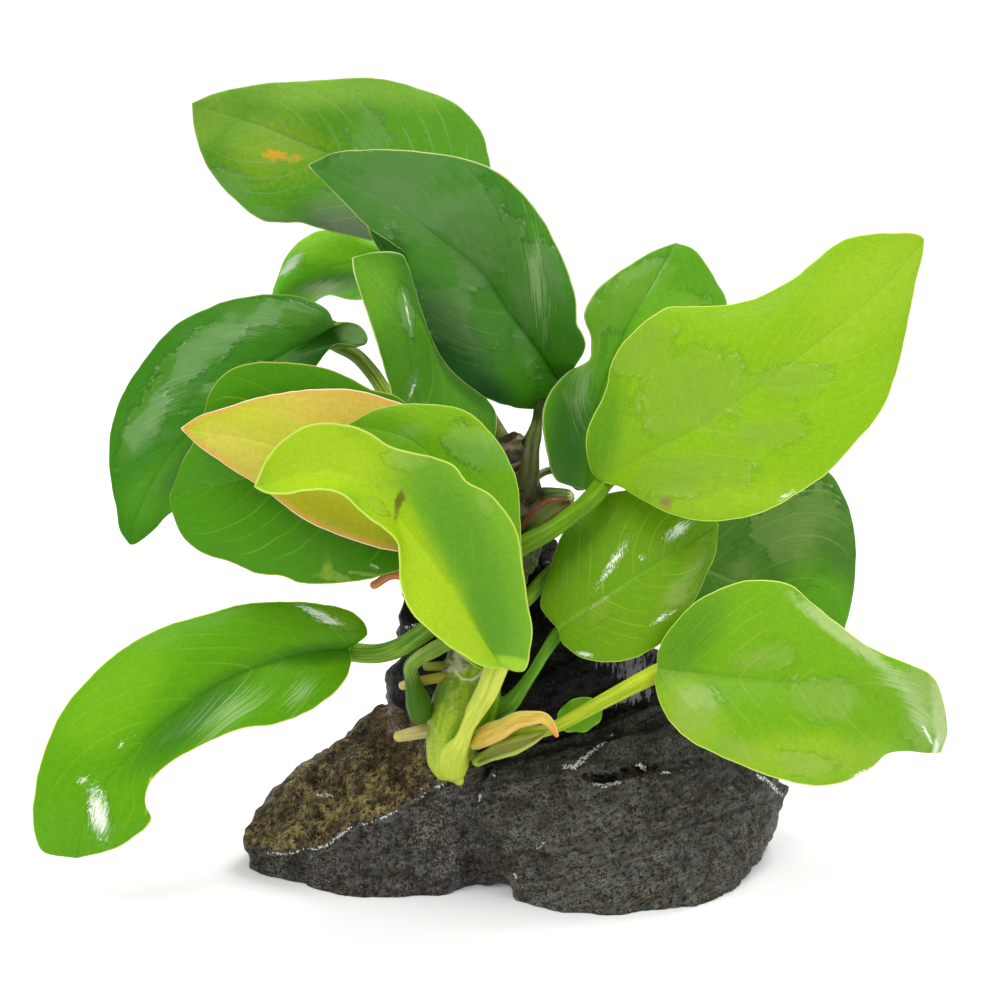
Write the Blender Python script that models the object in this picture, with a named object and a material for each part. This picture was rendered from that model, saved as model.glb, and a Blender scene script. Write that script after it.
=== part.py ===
"""An anubias plant growing on a dark stone, at its real size.

The stone stands on its flat underside. A thick creeping stem, the rhizome, climbs the front of the
stone, and leaves on long stalks fan out from it. Every leaf is drawn the way a botanist sketches
one: its midrib and its two edges are laid down as seen from the front, each midrib point also gets
its place in depth, and each half of the blade leans towards the viewer or away from them.

Lengths are millimetres and angles are degrees. +Z is up, +Y points away from the viewer, and the
origin lies on the surface that the stone stands on.
"""

import math
from functools import partial

import bmesh
import bpy
import numpy as np
from mathutils import Vector, noise
from mathutils.bvhtree import BVHTree

MM = 0.001

# The front view in which the sketches are drawn.
VIEW_ELEVATION = math.radians(15)
VIEW_DISTANCE = 700.0
VIEW_CENTRE_UP = 74.0

# Leaves
BLADE_THICKNESS = 1.0
BLADE_EDGE_THICKNESS = 0.6
MIDRIB_DEPTH = 1.0
ROW_LENGTH = 6.6
BLADE_SHARES = (0.13, 0.55, 1.0)

# Stalks, rhizome and roots
TUBE_SIDES = 8
TUBE_END = 0.35
STALK_STEPS = 6
LOOSE_STEPS = 7
ROOT_STEPS = 4
RHIZOME_STEPS = 22
RHIZOME_SIDES = 10
RHIZOME_RINGS = 7
RING_HEIGHT = 0.07

# Stone
STONE_VOXEL = 1.6
STONE_ROUGHNESS = 0.9
STONE_TRIANGLES = 2100

# The air between neighbouring pieces
GAP = 0.35
POINTED_GROWTH = 1.4
SHORTEST_EDGE = 0.02

# ---------------------------------------------------------------- leaves
# rib: (x, up, back) from the base to the tip. left and right: (x, up) along each edge, between the
# base and the tip. tilt: how far each half leans towards the viewer at base, middle and tip.
# crown: how far each half bulges towards the viewer.

LEAVES = {
    "back_top": dict(
        rib=[(-6.4, 133, 34), (-14, 136.4, 36), (-24, 140, 37), (-34.8, 143.4, 37), (-47.2, 148.6, 34),
             (-55, 151.2, 31), (-61.6, 153.4, 27)],
        left=[(-10, 125.6), (-16, 124.6), (-25, 125.6), (-34, 127.6), (-40, 129.2), (-47.6, 129.8),
              (-53.2, 134), (-57.4, 138.6), (-60, 143.6), (-61.4, 149)],
        right=[(-3, 134), (-1.4, 137), (-1.6, 141), (-4, 148), (-9, 153.4), (-16, 156.6), (-26, 158.4),
               (-40, 158), (-50, 157), (-57, 155.4)],
        tilt=((20, 22, 10), (-20, -25, -10)),
        crown=(1.0, 1.2),
    ),
    "top": dict(
        rib=[(11.6, 97.8, 14), (9, 102, 11), (5.6, 106.8, 7), (1.6, 111.8, 3), (-3.8, 119.6, 0),
             (-12.8, 127, -1), (-20, 132.4, 2), (-30, 137.6, 7), (-38.4, 141, 12)],
        left=[(11, 94), (8, 92.2), (4, 92), (-1, 93.4), (-5, 95.6), (-11, 101), (-15, 109), (-17, 117),
              (-18.8, 122.8), (-21, 124.5), (-26, 128), (-31, 133.4), (-35, 137.4)],
        right=[(14.6, 100), (16.6, 102.6), (17.4, 105), (16.6, 107.6), (15.5, 110), (15.2, 115),
               (13, 121.8), (8.6, 130.4), (3.6, 136.8), (-1.8, 140.6), (-10, 143), (-20, 144.2),
               (-28, 144.2), (-33, 143.6)],
        tilt=((5, -5, 5), (15, 20, 5)),
        crown=(0.8, 1.2),
    ),
    "back_small": dict(
        rib=[(-15, 117, 40), (-23, 121, 41), (-31, 121.6, 41), (-38, 119, 40), (-42, 116.6, 38.6),
             (-45.8, 113.8, 37)],
        left=[(-16, 113), (-22, 113.6), (-29, 114), (-34, 114.6), (-38, 112.8), (-42, 112.4)],
        right=[(-17, 122), (-24, 125.4), (-31, 127.8), (-37.4, 127.8), (-42.6, 122.8), (-45, 117.4)],
        tilt=((-50, -50, -30), (-20, -30, -20)),
        crown=(1.0, 1.0),
    ),
    "left_high": dict(
        rib=[(-33, 109, 16), (-40, 105, 16), (-50, 99, 15), (-60, 90, 12), (-68, 80, 8), (-72.4, 71, 4),
             (-74, 65, 2)],
        left=[(-31, 109.6), (-28, 109), (-26.2, 106.4), (-27.4, 104.8), (-32.6, 105), (-36, 101.6),
              (-40, 96), (-48, 88), (-56, 78), (-62, 73.5), (-66, 71.2), (-69, 68), (-72.4, 65.4)],
        right=[(-34.6, 112.2), (-38, 114), (-43, 115.2), (-51, 115), (-59, 112.4), (-67.4, 106.6),
               (-75, 96.6), (-78, 86), (-78.2, 78), (-76.8, 72), (-76, 68)],
        tilt=((-30, 20, 10), (-20, -35, -15)),
        crown=(0.8, 1.4),
    ),
    "hidden": dict(
        rib=[(-14, 108, 20), (-17, 114, 21), (-21, 121, 21), (-26.6, 128.8, 19)],
        left=[(-17, 109), (-20.6, 114), (-22.6, 120), (-24, 123.6), (-26, 127.2)],
        right=[(-10.6, 110), (-9.6, 116), (-13, 122), (-18, 126.6), (-23, 129)],
        tilt=((10, 15, 5), (-5, -10, -5)),
        crown=(0.5, 0.5),
    ),
    "upright": dict(
        rib=[(-9, 81.6, -5.6), (-14, 89, -4.6), (-17, 96, -4), (-19, 107, -3), (-23, 114.6, -2),
             (-29.6, 122.4, 0)],
        left=[(-13, 81.6), (-17, 86), (-20, 90), (-21.6, 94), (-23.2, 100), (-25.4, 107), (-27.6, 114),
              (-29.2, 119)],
        right=[(-4, 83), (-0.8, 86), (-0.6, 91.4), (-4.6, 96), (-10, 101.6), (-13.6, 108), (-15.6, 113),
               (-16.4, 117), (-18.4, 121.6), (-20, 123.4), (-25, 123.6)],
        tilt=((20, 22, 12), (-25, -52, -30)),
        crown=(0.4, 0.8),
    ),
    "left_broad": dict(
        rib=[(-14.4, 78.4, -10), (-26, 80, -11.4), (-40, 80, -12), (-52, 78, -11), (-60, 76.4, -9),
             (-66, 74.6, -6)],
        left=[(-13.6, 73), (-15, 66), (-18, 61), (-20.6, 59.6), (-27, 58), (-34, 57), (-40, 57.2),
              (-43.4, 58.6), (-49, 59.4), (-54, 61.4), (-59, 63), (-63, 66), (-65.4, 71)],
        right=[(-13.6, 84), (-16, 91), (-21, 95), (-26, 96.4), (-32, 99.6), (-38, 101.2), (-48, 101.8),
               (-54.4, 100), (-58, 96), (-59.4, 91), (-61.4, 85.4), (-64, 81)],
        tilt=((5, 10, 0), (-3, -5, -5)),
        crown=(1.2, 1.2),
    ),
    "yellow": dict(
        rib=[(-9, 76, -18), (-18, 78, -20), (-28, 80.4, -20.6), (-40, 83.4, -20), (-52, 86.6, -17),
             (-63.8, 88.4, -13)],
        left=[(-8, 71), (-11, 66), (-16, 64), (-20.4, 63.6), (-27, 65), (-34, 67.4), (-40, 70.6),
              (-46, 75), (-52, 79), (-57, 82.6), (-61, 85.4)],
        right=[(-7.6, 81), (-10.4, 87), (-15, 91.6), (-20, 93.6), (-27, 95.8), (-34, 96.4), (-42, 96),
               (-49, 94.4), (-55, 92.6), (-60, 91)],
        tilt=((10, 12, 0), (-5, -15, 0)),
        crown=(0.8, 0.8),
    ),
    "front_inner": dict(
        rib=[(-2, 40.4, -24), (-4, 54, -26), (-6, 66, -27), (-10, 78, -26), (-18, 86, -25),
             (-30.4, 89.2, -23)],
        left=[(-4, 40), (-12, 46), (-17, 51.6), (-19, 57), (-19.6, 63), (-20, 70), (-23, 78), (-27, 85)],
        right=[(3, 44), (5.4, 52), (4.8, 62), (4.2, 70), (3.4, 78), (1, 84), (-2, 88), (-6.4, 91.8),
               (-12, 93.2), (-19, 93.4), (-25, 92.2)],
        tilt=((5, 5, 5), (-10, -15, -5)),
        crown=(0.6, 0.8),
    ),
    "front_twisted": dict(
        rib=[(0.6, 40.6, -31), (-4, 47, -35), (-9.2, 56, -38), (-15.2, 63.8, -39), (-20.4, 71, -38),
             (-26, 78.4, -37), (-35, 81.6, -35), (-43, 80, -33), (-49.2, 76.6, -32)],
        left=[(-3, 40.4), (-8, 43), (-13, 46.6), (-17.6, 51.6), (-19.8, 57), (-20.4, 62), (-20.6, 65),
              (-23, 68), (-26, 70.2), (-30.6, 73.8), (-34, 75.2), (-40, 75.4), (-46, 75.2)],
        right=[(5, 39.6), (6.2, 44), (6.8, 48.8), (5.8, 54), (4.6, 60.6), (3.6, 67), (1.4, 71.8),
               (-1.8, 75.6), (-6.6, 78), (-8.8, 80.8), (-12.6, 82.4), (-17.8, 83.6), (-22, 85),
               (-26, 88), (-31.2, 89.4), (-37.2, 89.2), (-43, 86.4), (-46.8, 82.4)],
        tilt=((20, 40, 35), (15, 25, 25)),
        crown=(-0.6, -0.4),
    ),
    "right_high": dict(
        rib=[(17, 76, 10), (18, 86, 12), (20, 96, 15), (25, 108, 19), (31, 118, 24), (35, 125.4, 28)],
        left=[(13.6, 76.8), (10.7, 78.2), (9.2, 82.2), (8.5, 88.5), (9, 93), (10.7, 96.8), (13.2, 99.6),
              (15.4, 100.6), (17.8, 102.4), (18, 107), (16.6, 111.4), (19, 116), (24, 120), (30, 123.6)],
        right=[(21, 76), (28, 80), (36, 88), (43, 98), (46, 106), (45.6, 113.6), (42.4, 119.6),
               (39, 124)],
        tilt=((45, 43, 0), (-5, -10, -5)),
        crown=(0.6, 1.0),
    ),
    "right_large": dict(
        rib=[(20.4, 77.6, -6), (29.4, 83.4, -8), (40, 88.8, -10), (54, 98.4, -11), (62, 104.3, -10),
             (72.2, 112.4, -7), (79.2, 119.3, -3), (84.8, 126, 1)],
        left=[(18.4, 79.4), (17.2, 83), (17.4, 88), (20, 94), (21.2, 97), (21.8, 101), (24, 105),
              (28, 109), (33, 112.4), (38, 112.8), (46, 113.4), (52, 115), (58, 118), (63, 122),
              (68, 126), (74, 127.4), (80, 127.6), (83.6, 127.2)],
        right=[(24.4, 76.4), (29, 73.6), (34, 71), (40, 69.6), (47, 70), (54, 72), (60, 75.4),
               (65.4, 79), (70, 84), (75, 89.8), (78.2, 95.8), (80.8, 104), (81.8, 110.8), (83, 117),
               (84.4, 122.4)],
        tilt=((-5, -15, -10), (10, 15, 5)),
        crown=(1.4, 1.0),
    ),
    "right_middle": dict(
        rib=[(11.6, 48.2, -15), (17, 52, -14), (26.4, 58, -10.4), (35.4, 63.8, -5), (43.6, 69.2, 1)],
        left=[(9, 51), (8, 53.6), (9, 58), (11, 64), (13.2, 69), (16, 73), (22, 75.6), (30, 76),
              (38, 74)],
        right=[(12.6, 45), (16, 42.4), (21, 41.4), (26, 42), (31, 44.2), (35, 47.8), (39.2, 53.8),
               (41.4, 59), (43.2, 64)],
        tilt=((-15, -20, -10), (15, 20, 10)),
        crown=(1.0, 1.0),
    ),
    "right_back": dict(
        rib=[(30, 64, 18), (40, 60.5, 20), (50, 56, 20), (60, 50, 18), (67, 42, 15)],
        left=[(33, 69), (40, 76), (50, 81), (60, 82.4), (66, 79.6), (70, 72), (71.4, 64), (70.8, 56),
              (69.2, 49)],
        right=[(33, 58), (38, 53.2), (44, 46), (52, 41), (60, 39.6)],
        tilt=((-10, -15, -5), (5, 10, 5)),
        crown=(1.2, 0.8),
    ),
    "right_low": dict(
        rib=[(31.4, 40.4, -18), (37.6, 39.6, -20), (46.6, 38.5, -23), (60, 37.4, -25),
             (71.4, 36.8, -24), (79, 32, -21), (88, 23.4, -17)],
        left=[(31.6, 44), (33, 47), (36, 51), (40, 54.4), (46, 57), (52, 58.2), (58, 57.4), (61, 55),
              (66, 50.4), (71, 46.6), (77, 43.4), (83, 41), (87, 38.4), (89, 33), (89.6, 27.6)],
        right=[(31, 36), (33, 31), (37, 26.4), (43, 23), (50, 20), (58, 17.4), (64, 16.6), (69, 17.6),
               (74, 20.4), (77, 23), (81, 23.6), (85, 23.4)],
        tilt=((-10, -25, -20), (10, 20, 10)),
        crown=(1.2, 1.2),
    ),
    "small": dict(
        rib=[(11.6, 28.4, -16), (15.8, 30.8, -15.6), (20.4, 33.2, -14.8)],
        left=[(11.6, 31.6), (14.4, 34.2), (17.6, 34.6)],
        right=[(14.4, 27.4), (18, 28), (20.2, 30.4)],
        tilt=((0, -10, 0), (0, 10, 0)),
        crown=(0.3, 0.3),
    ),
    "left_low": dict(
        rib=[(-30.4, 44.4, -6), (-40, 43, -9), (-51, 39.6, -12), (-60, 34.6, -15), (-69, 27.6, -18),
             (-76.6, 20, -20), (-81, 14, -21), (-83.6, 7, -21), (-84.4, 2.4, -20)],
        left=[(-26.8, 46.6), (-26.4, 48), (-27.6, 50.4), (-31, 52.4), (-36, 53.4), (-42, 53.8),
              (-51, 53.4), (-60, 51.2), (-69, 48), (-78.6, 42), (-86.4, 34), (-90.8, 25), (-93.2, 16),
              (-93.6, 9), (-91.6, 3.6)],
        right=[(-29.6, 42), (-30.8, 38), (-34, 34.4), (-39, 31.2), (-45, 29), (-51, 28.2), (-57, 26),
               (-63, 23), (-68, 19.6), (-70.2, 16.8), (-70.8, 13), (-69.8, 9.6), (-76, 4.6)],
        tilt=((-10, -20, -10), (15, 30, 15)),
        crown=(1.2, 1.0),
    ),
}


# ---------------------------------------------------------------- stalks, rhizome and roots
# Each path is a list of (x, up, back) in the sketch. The radii are spread evenly along it.

RHIZOME = [
    (-8.2, 18, -17.8, 1.2), (-8.9, 19.3, -17.8, 2.6), (-9.9, 21, -17.6, 3.9), (-10, 23.6, -17.4, 4.9),
    (-9.4, 27, -17, 5.6), (-8.2, 31, -16, 6.4), (-7.9, 34.6, -15, 5.8), (-7.7, 38, -14.4, 4.6),
    (-6.9, 41.6, -14, 3.8), (-5.6, 46, -12.6, 4.5), (-3, 52, -11.5, 5.2), (1, 59, -9.6, 4.9),
    (3.8, 66, -7.4, 4.7), (4.2, 73, -5, 4.3), (2.9, 80, -3.6, 4.1), (0.9, 85.8, -3.5, 3.8),
]

STALKS = {
    "back_top": dict(path=[(5.2, 80, -1), (6.6, 86.6, 14), (7.6, 91.8, 22), (7.6, 100, 28),
                           (2, 117, 35), (-5.6, 132, 36)],
                     radii=(1.6, 1.0, 0.95, 1.3, 1.4, 1.5)),
    "top": dict(path=[(4.8, 75, -6), (5.6, 80, -6.4), (6, 84.6, -4), (6.9, 87.4, -1), (7.5, 90.3, 4),
                      (8, 93, 9), (11.4, 97, 16.6)],
                radii=(2.3, 2.0, 1.7, 1.1, 0.95, 1.0, 1.1)),
    "back_small": dict(path=[(3, 81, -1), (-3, 88, 12), (-9, 98, 26), (-12, 109, 36), (-14.6, 116.6, 41)],
                       radii=(1.5, 1.3, 1.1)),
    "left_high": dict(path=[(3, 78, -3), (-7, 86.4, 8), (-17, 91.6, 16), (-25.2, 96, 20.6),
                            (-27.6, 99.2, 21.8), (-30.7, 103, 22.4), (-33.8, 104.9, 21.8),
                            (-36.4, 106.2, 20)],
                      radii=(1.8, 1.6, 1.5, 1.45, 1.3)),
    "hidden": dict(path=[(2.4, 83.4, -1), (-2, 91, 15), (-8, 100, 21), (-13.6, 107.4, 21)],
                   radii=(1.3, 1.0)),
    "upright": dict(path=[(2, 69, -5), (-4, 76, -6), (-8.6, 81, -6.4)], radii=(1.8, 1.4)),
    "left_broad": dict(path=[(-2, 58, -9), (-8, 69, -9.6), (-13.8, 77.8, -9)], radii=(1.7, 1.4)),
    "yellow": dict(path=[(-3, 55, -11), (-6, 66, -16), (-8.6, 75.2, -17)], radii=(1.4, 1.1)),
    "front_inner": dict(path=[(-6, 26, -18), (-2.6, 31.4, -21), (-1.4, 36, -22.6), (-2, 40, -23.4)],
                        radii=(2.0, 1.9, 1.5, 1.4)),
    "front_twisted": dict(path=[(-9.4, 20.9, -19.4), (-9.2, 23, -21.4), (-7.5, 25.9, -24.2),
                                (-6.4, 28.6, -25.6), (-4.7, 32, -27), (-2.7, 35.4, -28.4),
                                (-1.4, 38.6, -29.6), (0, 40.6, -30.6)],
                          radii=(3.0, 2.6, 1.6, 1.4, 1.85, 2.1, 2.2, 2.4)),
    "right_high": dict(path=[(4.4, 76.6, -3), (7.6, 78.9, 1), (10.2, 79.9, 5), (13, 79.2, 8.6),
                             (16.6, 76.6, 11.4)],
                       radii=(1.3, 0.8, 0.75, 0.9, 1.0)),
    "right_large": dict(path=[(-1, 61.4, -11), (5.1, 65.2, -13), (9.4, 67.5, -12.8), (13, 70, -11.4),
                              (16.3, 72.4, -9.4), (19.1, 75.2, -7), (20.4, 76.8, -5.6)],
                        radii=(2.3, 1.85, 1.8, 1.75, 1.8, 1.9, 1.9)),
    "right_middle": dict(path=[(-3, 31.6, -15.4), (1.3, 33, -17.2), (3.4, 35, -17.4), (6.9, 40, -16),
                               (8.5, 42.7, -15), (11.3, 47.4, -13.4)],
                         radii=(2.2, 1.9, 1.3, 1.05, 1.1, 1.3)),
    "right_back": dict(path=[(-1, 50, -12), (5, 54, -10.4), (10.4, 59.6, -4), (19, 65, 8),
                             (29.6, 64.2, 18.6)],
                       radii=(1.5, 1.2)),
    "right_low": dict(path=[(-5, 26, -17), (1, 27, -21), (6, 27.4, -22.8), (11.2, 28.7, -22.8),
                            (21.5, 34.2, -20.8), (31, 39.4, -17.4)],
                      radii=(1.6, 1.3, 1.2, 1.35, 1.6, 1.8)),
    "small": dict(path=[(-2, 28.4, -16.4), (4, 28, -17.4), (11.2, 28.2, -15.2)], radii=(1.1, 0.8)),
    "left_low": dict(path=[(-8, 53, -11), (-15.2, 47.6, -8), (-19.8, 44.6, -4.5), (-24.8, 43.2, -1.5),
                           (-29.8, 43.6, -1)],
                     radii=(1.9, 1.9, 1.9, 1.9, 1.9)),
}

LOOSE_STALKS = {
    "curled_stalk": dict(path=[(-9, 46, -14), (-11.3, 45.1, -15.6), (-13.7, 43.8, -17.6),
                               (-16.1, 42.4, -19), (-17.8, 40.7, -19.8), (-17.6, 38.6, -19.8),
                               (-17.1, 36.4, -19.6), (-16.4, 34, -19.4), (-16, 31.4, -19)],
                         radii=(1.6, 1.5, 1.5, 1.4, 1.35, 1.4, 1.75, 2.4, 2.2)),
    "withered_stalk": dict(path=[(-4, 51, -12), (-12, 56, -13.4), (-20.6, 59, -13.6), (-25.2, 57, -14)],
                           radii=(1.0, 0.9, 0.8)),
    "old_sheath": dict(path=[(4.6, 67.6, -10), (7.4, 70.2, -11.4), (10.4, 72.4, -10.6),
                             (13.2, 73.4, -8.6)],
                       radii=(1.2, 2.0, 2.1, 0.9)),
    "cut_stalk": dict(path=[(5, 74, -3), (9, 74.6, -4), (13.2, 74.4, -5)], radii=(1.9, 1.8, 1.7)),
    "young_leaf": dict(path=[(-4.5, 25.7, -21.6), (-2.1, 27.1, -24.8), (0.4, 28.2, -26.4),
                             (3.3, 29.8, -27.4), (6.2, 30.3, -27.6), (8.6, 30.3, -27.2),
                             (10.2, 28.9, -26.6), (11.3, 26.9, -26.2)],
                       radii=(1.7, 2.0, 2.1, 1.75, 1.6, 1.3, 0.85, 0.4)),
    "leaf_sheath": dict(path=[(-4.5, 21.8, -20.4), (-0.4, 23.8, -24.6), (3.3, 25, -26.2),
                              (6.2, 26.2, -26.4), (8.8, 27.4, -26)],
                        radii=(1.1, 1.3, 1.75, 1.5, 0.6)),
}

ROOTS = {
    "root_low": dict(path=[(-12, 28.4, -16), (-16.6, 27.5, -16.6), (-20.2, 26.7, -15.8)],
                     radii=(1.5, 1.3, 1.05)),
    "root_middle": dict(path=[(-9, 39, -15), (-14.2, 38.1, -16.4), (-19.4, 36.9, -16)],
                        radii=(1.0, 0.95, 0.85)),
    "root_high": dict(path=[(-8, 41, -14), (-11.5, 40.8, -14.8), (-14.6, 40.7, -14.8)],
                      radii=(1.0, 0.95, 0.8)),
}

# ---------------------------------------------------------------- stone
# Each block is the hull of its corners. corners: (x, up, back) in the sketch. front: (x, up) in the
# sketch where the block meets the floor. rear: (x, back) on the floor behind. depth: how far the
# block reaches below the floor before the underside is cut flat.

STONE_BLOCKS = {
    "left": dict(
        corners=[(-50.8, 8.2, 6), (-50.2, 5, 2), (-47, 13, 11), (-43, 18, 17), (-39.4, 22.6, 21),
                 (-33, 25.4, 21), (-28.6, 29, 17), (-24.2, 33.4, 11), (-47.4, 3.4, 0), (-38, 6.4, -6),
                 (-30, 9.4, -9), (-20, 13.4, -10.4), (-12, 17.2, -10.6), (-3, 20.6, -9.6),
                 (-34, 22, 34), (-6, 30, 34)],
        front=[(-50.2, 0.2), (-46.4, -1.8), (-39.6, -3.8), (-33.6, -5.2), (-25, -5.6), (-13.3, -5.2),
               (-7.5, -2.2), (2, -1)],
        rear=[(-47, 16), (-40, 34), (-22, 42), (6, 36)],
        depth=4.0,
    ),
    "right": dict(
        corners=[(-3.6, 12.4, -11.6), (-2, 19, -10.6), (2, 7, -14), (0, 20.6, -10.2), (14, 20.8, -12.4),
                 (24, 27, -9.6), (33, 28, -6), (38, 30.6, 1), (43, 23.8, 0), (50.7, 20, 5),
                 (55.4, 18.4, 10), (57.4, 16, 13), (56.4, 12.4, 13), (50, 17, 30), (30, 30, 26),
                 (12, 30, 30), (34, 4, -18.6), (16, 3, -19.4)],
        front=[(2.2, -2), (4, -5.2), (6.2, -6.8), (13.6, -8.6), (23, -9.3), (33.2, -7.9), (41, -7.4),
               (44, -5.8), (50.2, 0.7), (53, 5.4)],
        rear=[(53, 28), (44, 42), (20, 46), (6, 34)],
        depth=4.3,
    ),
    "spire": dict(
        corners=[(-23, 34, 6), (-21, 43, 2), (-19.6, 52, 2), (-19, 59, 4), (-12, 63.4, 5), (-4, 66, 3),
                 (7, 65, 2), (12, 60, 1), (20, 54.6, 2), (26, 48, 2), (31, 43, 3), (34, 33, 0),
                 (-12, 58, 26), (2, 62, 28), (22, 47, 30), (30, 38, 26), (-10, 30, -9), (10, 31, -9),
                 (24, 36, -5), (-2, 48, -6.6), (8, 47, -6)],
        front=[(-20, 0), (24, 0)],
        rear=[(30, 34), (-16, 36)],
        depth=4.6,
    ),
}

# ---------------------------------------------------------------- colours

LEAF_COLOURS = {
    "back_top": (0.155, 0.325, 0.04),
    "top": (0.07, 0.205, 0.04),
    "back_small": (0.17, 0.38, 0.04),
    "left_high": (0.07, 0.24, 0.012),
    "hidden": (0.08, 0.22, 0.02),
    "upright": (0.08, 0.24, 0.016),
    "left_broad": (0.07, 0.26, 0.008),
    "yellow": (0.66, 0.47, 0.07),
    "front_inner": (0.17, 0.38, 0.02),
    "front_twisted": (0.25, 0.48, 0.02),
    "right_high": (0.07, 0.22, 0.022),
    "right_large": (0.29, 0.52, 0.035),
    "right_middle": (0.13, 0.34, 0.01),
    "right_back": (0.075, 0.18, 0.035),
    "right_low": (0.2, 0.47, 0.02),
    "small": (0.1, 0.3, 0.02),
    "left_low": (0.13, 0.38, 0.01),
}
PALE_STALK = (0.33, 0.46, 0.05)
GREEN_STALK = (0.16, 0.32, 0.03)
PALE_STALKS = ("front_twisted", "right_low", "left_high")
LOOSE_COLOURS = {
    "curled_stalk": (0.13, 0.26, 0.03),
    "withered_stalk": (0.5, 0.2, 0.07),
    "old_sheath": (0.3, 0.2, 0.07),
    "cut_stalk": (0.5, 0.52, 0.2),
    "young_leaf": (0.66, 0.45, 0.1),
    "leaf_sheath": (0.28, 0.3, 0.06),
}
RHIZOME_COLOUR = (0.24, 0.29, 0.04)
ROOT_COLOUR = (0.5, 0.44, 0.18)
STONE_COLOUR = (0.028, 0.026, 0.022)

# ---------------------------------------------------------------- sketch space


def seen(x, up, back):
    """The point in space that the front view shows at (x, up) and that lies at depth back."""
    sine, cosine = math.sin(VIEW_ELEVATION), math.cos(VIEW_ELEVATION)
    eye_y = VIEW_CENTRE_UP * sine - VIEW_DISTANCE * cosine
    eye_z = VIEW_CENTRE_UP * cosine + VIEW_DISTANCE * sine
    reach = (back - eye_y) / (up * sine - eye_y)
    return np.array([x * reach, back, eye_z + (up * cosine - eye_z) * reach])


def on_floor(x, up):
    """The point on the floor that the front view shows at (x, up)."""
    near, far = seen(x, up, -80), seen(x, up, 80)
    share = near[2] / (near[2] - far[2])
    return near + (far - near) * share


def smooth_line(points, fractions):
    """Points at these fractions of the length of a smooth curve through the given points."""
    p = np.asarray(points, float)
    padded = np.vstack([2 * p[0] - p[1], p, 2 * p[-1] - p[-2]])
    dense = []
    for a, b, c, d in zip(padded, padded[1:], padded[2:], padded[3:]):
        for t in np.linspace(0, 1, 16, endpoint=False):
            bend = 2 * a - 5 * b + 4 * c - d
            dense.append(b + 0.5 * ((c - a) * t + bend * t**2 + (3 * b - a - 3 * c + d) * t**3))
    dense = np.array(dense + [p[-1]])
    steps = np.linalg.norm(np.diff(dense, axis=0), axis=1)
    along = np.concatenate([[0], np.cumsum(steps)]) / steps.sum()
    return np.stack([np.interp(fractions, along, dense[:, k]) for k in range(p.shape[1])], axis=1)


def ramp(amounts, fractions):
    """A value that passes smoothly through its amounts at the base, the middle and the tip."""
    base, middle, tip = amounts
    f = np.asarray(fractions)
    return base * (1 - f) * (1 - 2 * f) + middle * 4 * f * (1 - f) + tip * f * (2 * f - 1)


def unit(vectors):
    """The same directions with a length of one."""
    return vectors / np.maximum(np.linalg.norm(vectors, axis=-1, keepdims=True), 1e-9)


# ---------------------------------------------------------------- objects


def material(name, colour, roughness):
    """A material of one colour."""
    result = bpy.data.materials.new(name)
    result.use_nodes = True
    shader = result.node_tree.nodes["Principled BSDF"]
    shader.inputs["Base Color"].default_value = (*colour, 1)
    shader.inputs["Roughness"].default_value = roughness
    shader.inputs["Metallic"].default_value = 0
    return result


def link(name, mesh, look=None, smooth=True):
    """Put a mesh in the scene under this name."""
    mesh.name = name
    mesh.polygons.foreach_set("use_smooth", [smooth] * len(mesh.polygons))
    result = bpy.data.objects.new(name, mesh)
    if look:
        result.data.materials.append(look)
    bpy.context.scene.collection.objects.link(result)
    return result


def closed_mesh(points, faces):
    """A mesh in metres from points in millimetres, with every face turned outwards."""
    mesh = bpy.data.meshes.new("closed")
    mesh.from_pydata([tuple(point * MM) for point in points], [], faces)
    bm = bmesh.new()
    bm.from_mesh(mesh)
    bmesh.ops.recalc_face_normals(bm, faces=bm.faces)
    if bm.calc_volume(signed=True) < 0:
        bmesh.ops.reverse_faces(bm, faces=bm.faces)
    bm.to_mesh(mesh)
    bm.free()
    return mesh


def apply_modifiers(target):
    """Replace the mesh of an object by what its modifiers make of it."""
    graph = bpy.context.evaluated_depsgraph_get()
    mesh = bpy.data.meshes.new_from_object(target.evaluated_get(graph))
    target.modifiers.clear()
    target.data = mesh


def cut_away(target, cutters):
    """Take the cutters out of an object and keep the largest piece that is left."""
    for cutter in cutters:
        cut = target.modifiers.new("cut", "BOOLEAN")
        cut.operation = "DIFFERENCE"
        cut.solver = "EXACT"
        cut.use_self = True
        cut.object = cutter
    bpy.context.view_layer.update()
    apply_modifiers(target)
    bm = bmesh.new()
    bm.from_mesh(target.data)
    loose = set(bm.verts)
    pieces = []
    while loose:
        queue = [loose.pop()]
        piece = set(queue)
        while queue:
            for edge in queue.pop().link_edges:
                for vertex in edge.verts:
                    if vertex in loose:
                        loose.discard(vertex)
                        piece.add(vertex)
                        queue.append(vertex)
        pieces.append(piece)
    pieces.sort(key=len)
    for piece in pieces[:-1]:
        bmesh.ops.delete(bm, geom=list(piece), context="VERTS")
    bmesh.ops.dissolve_degenerate(bm, edges=bm.edges, dist=SHORTEST_EDGE * MM)
    bm.to_mesh(target.data)
    bm.free()


def as_cutter(name, mesh):
    """A hidden copy that only cuts other objects."""
    result = link(name, mesh)
    result.display_type = "WIRE"
    result.hide_render = True
    return result


# ---------------------------------------------------------------- shapes


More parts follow.
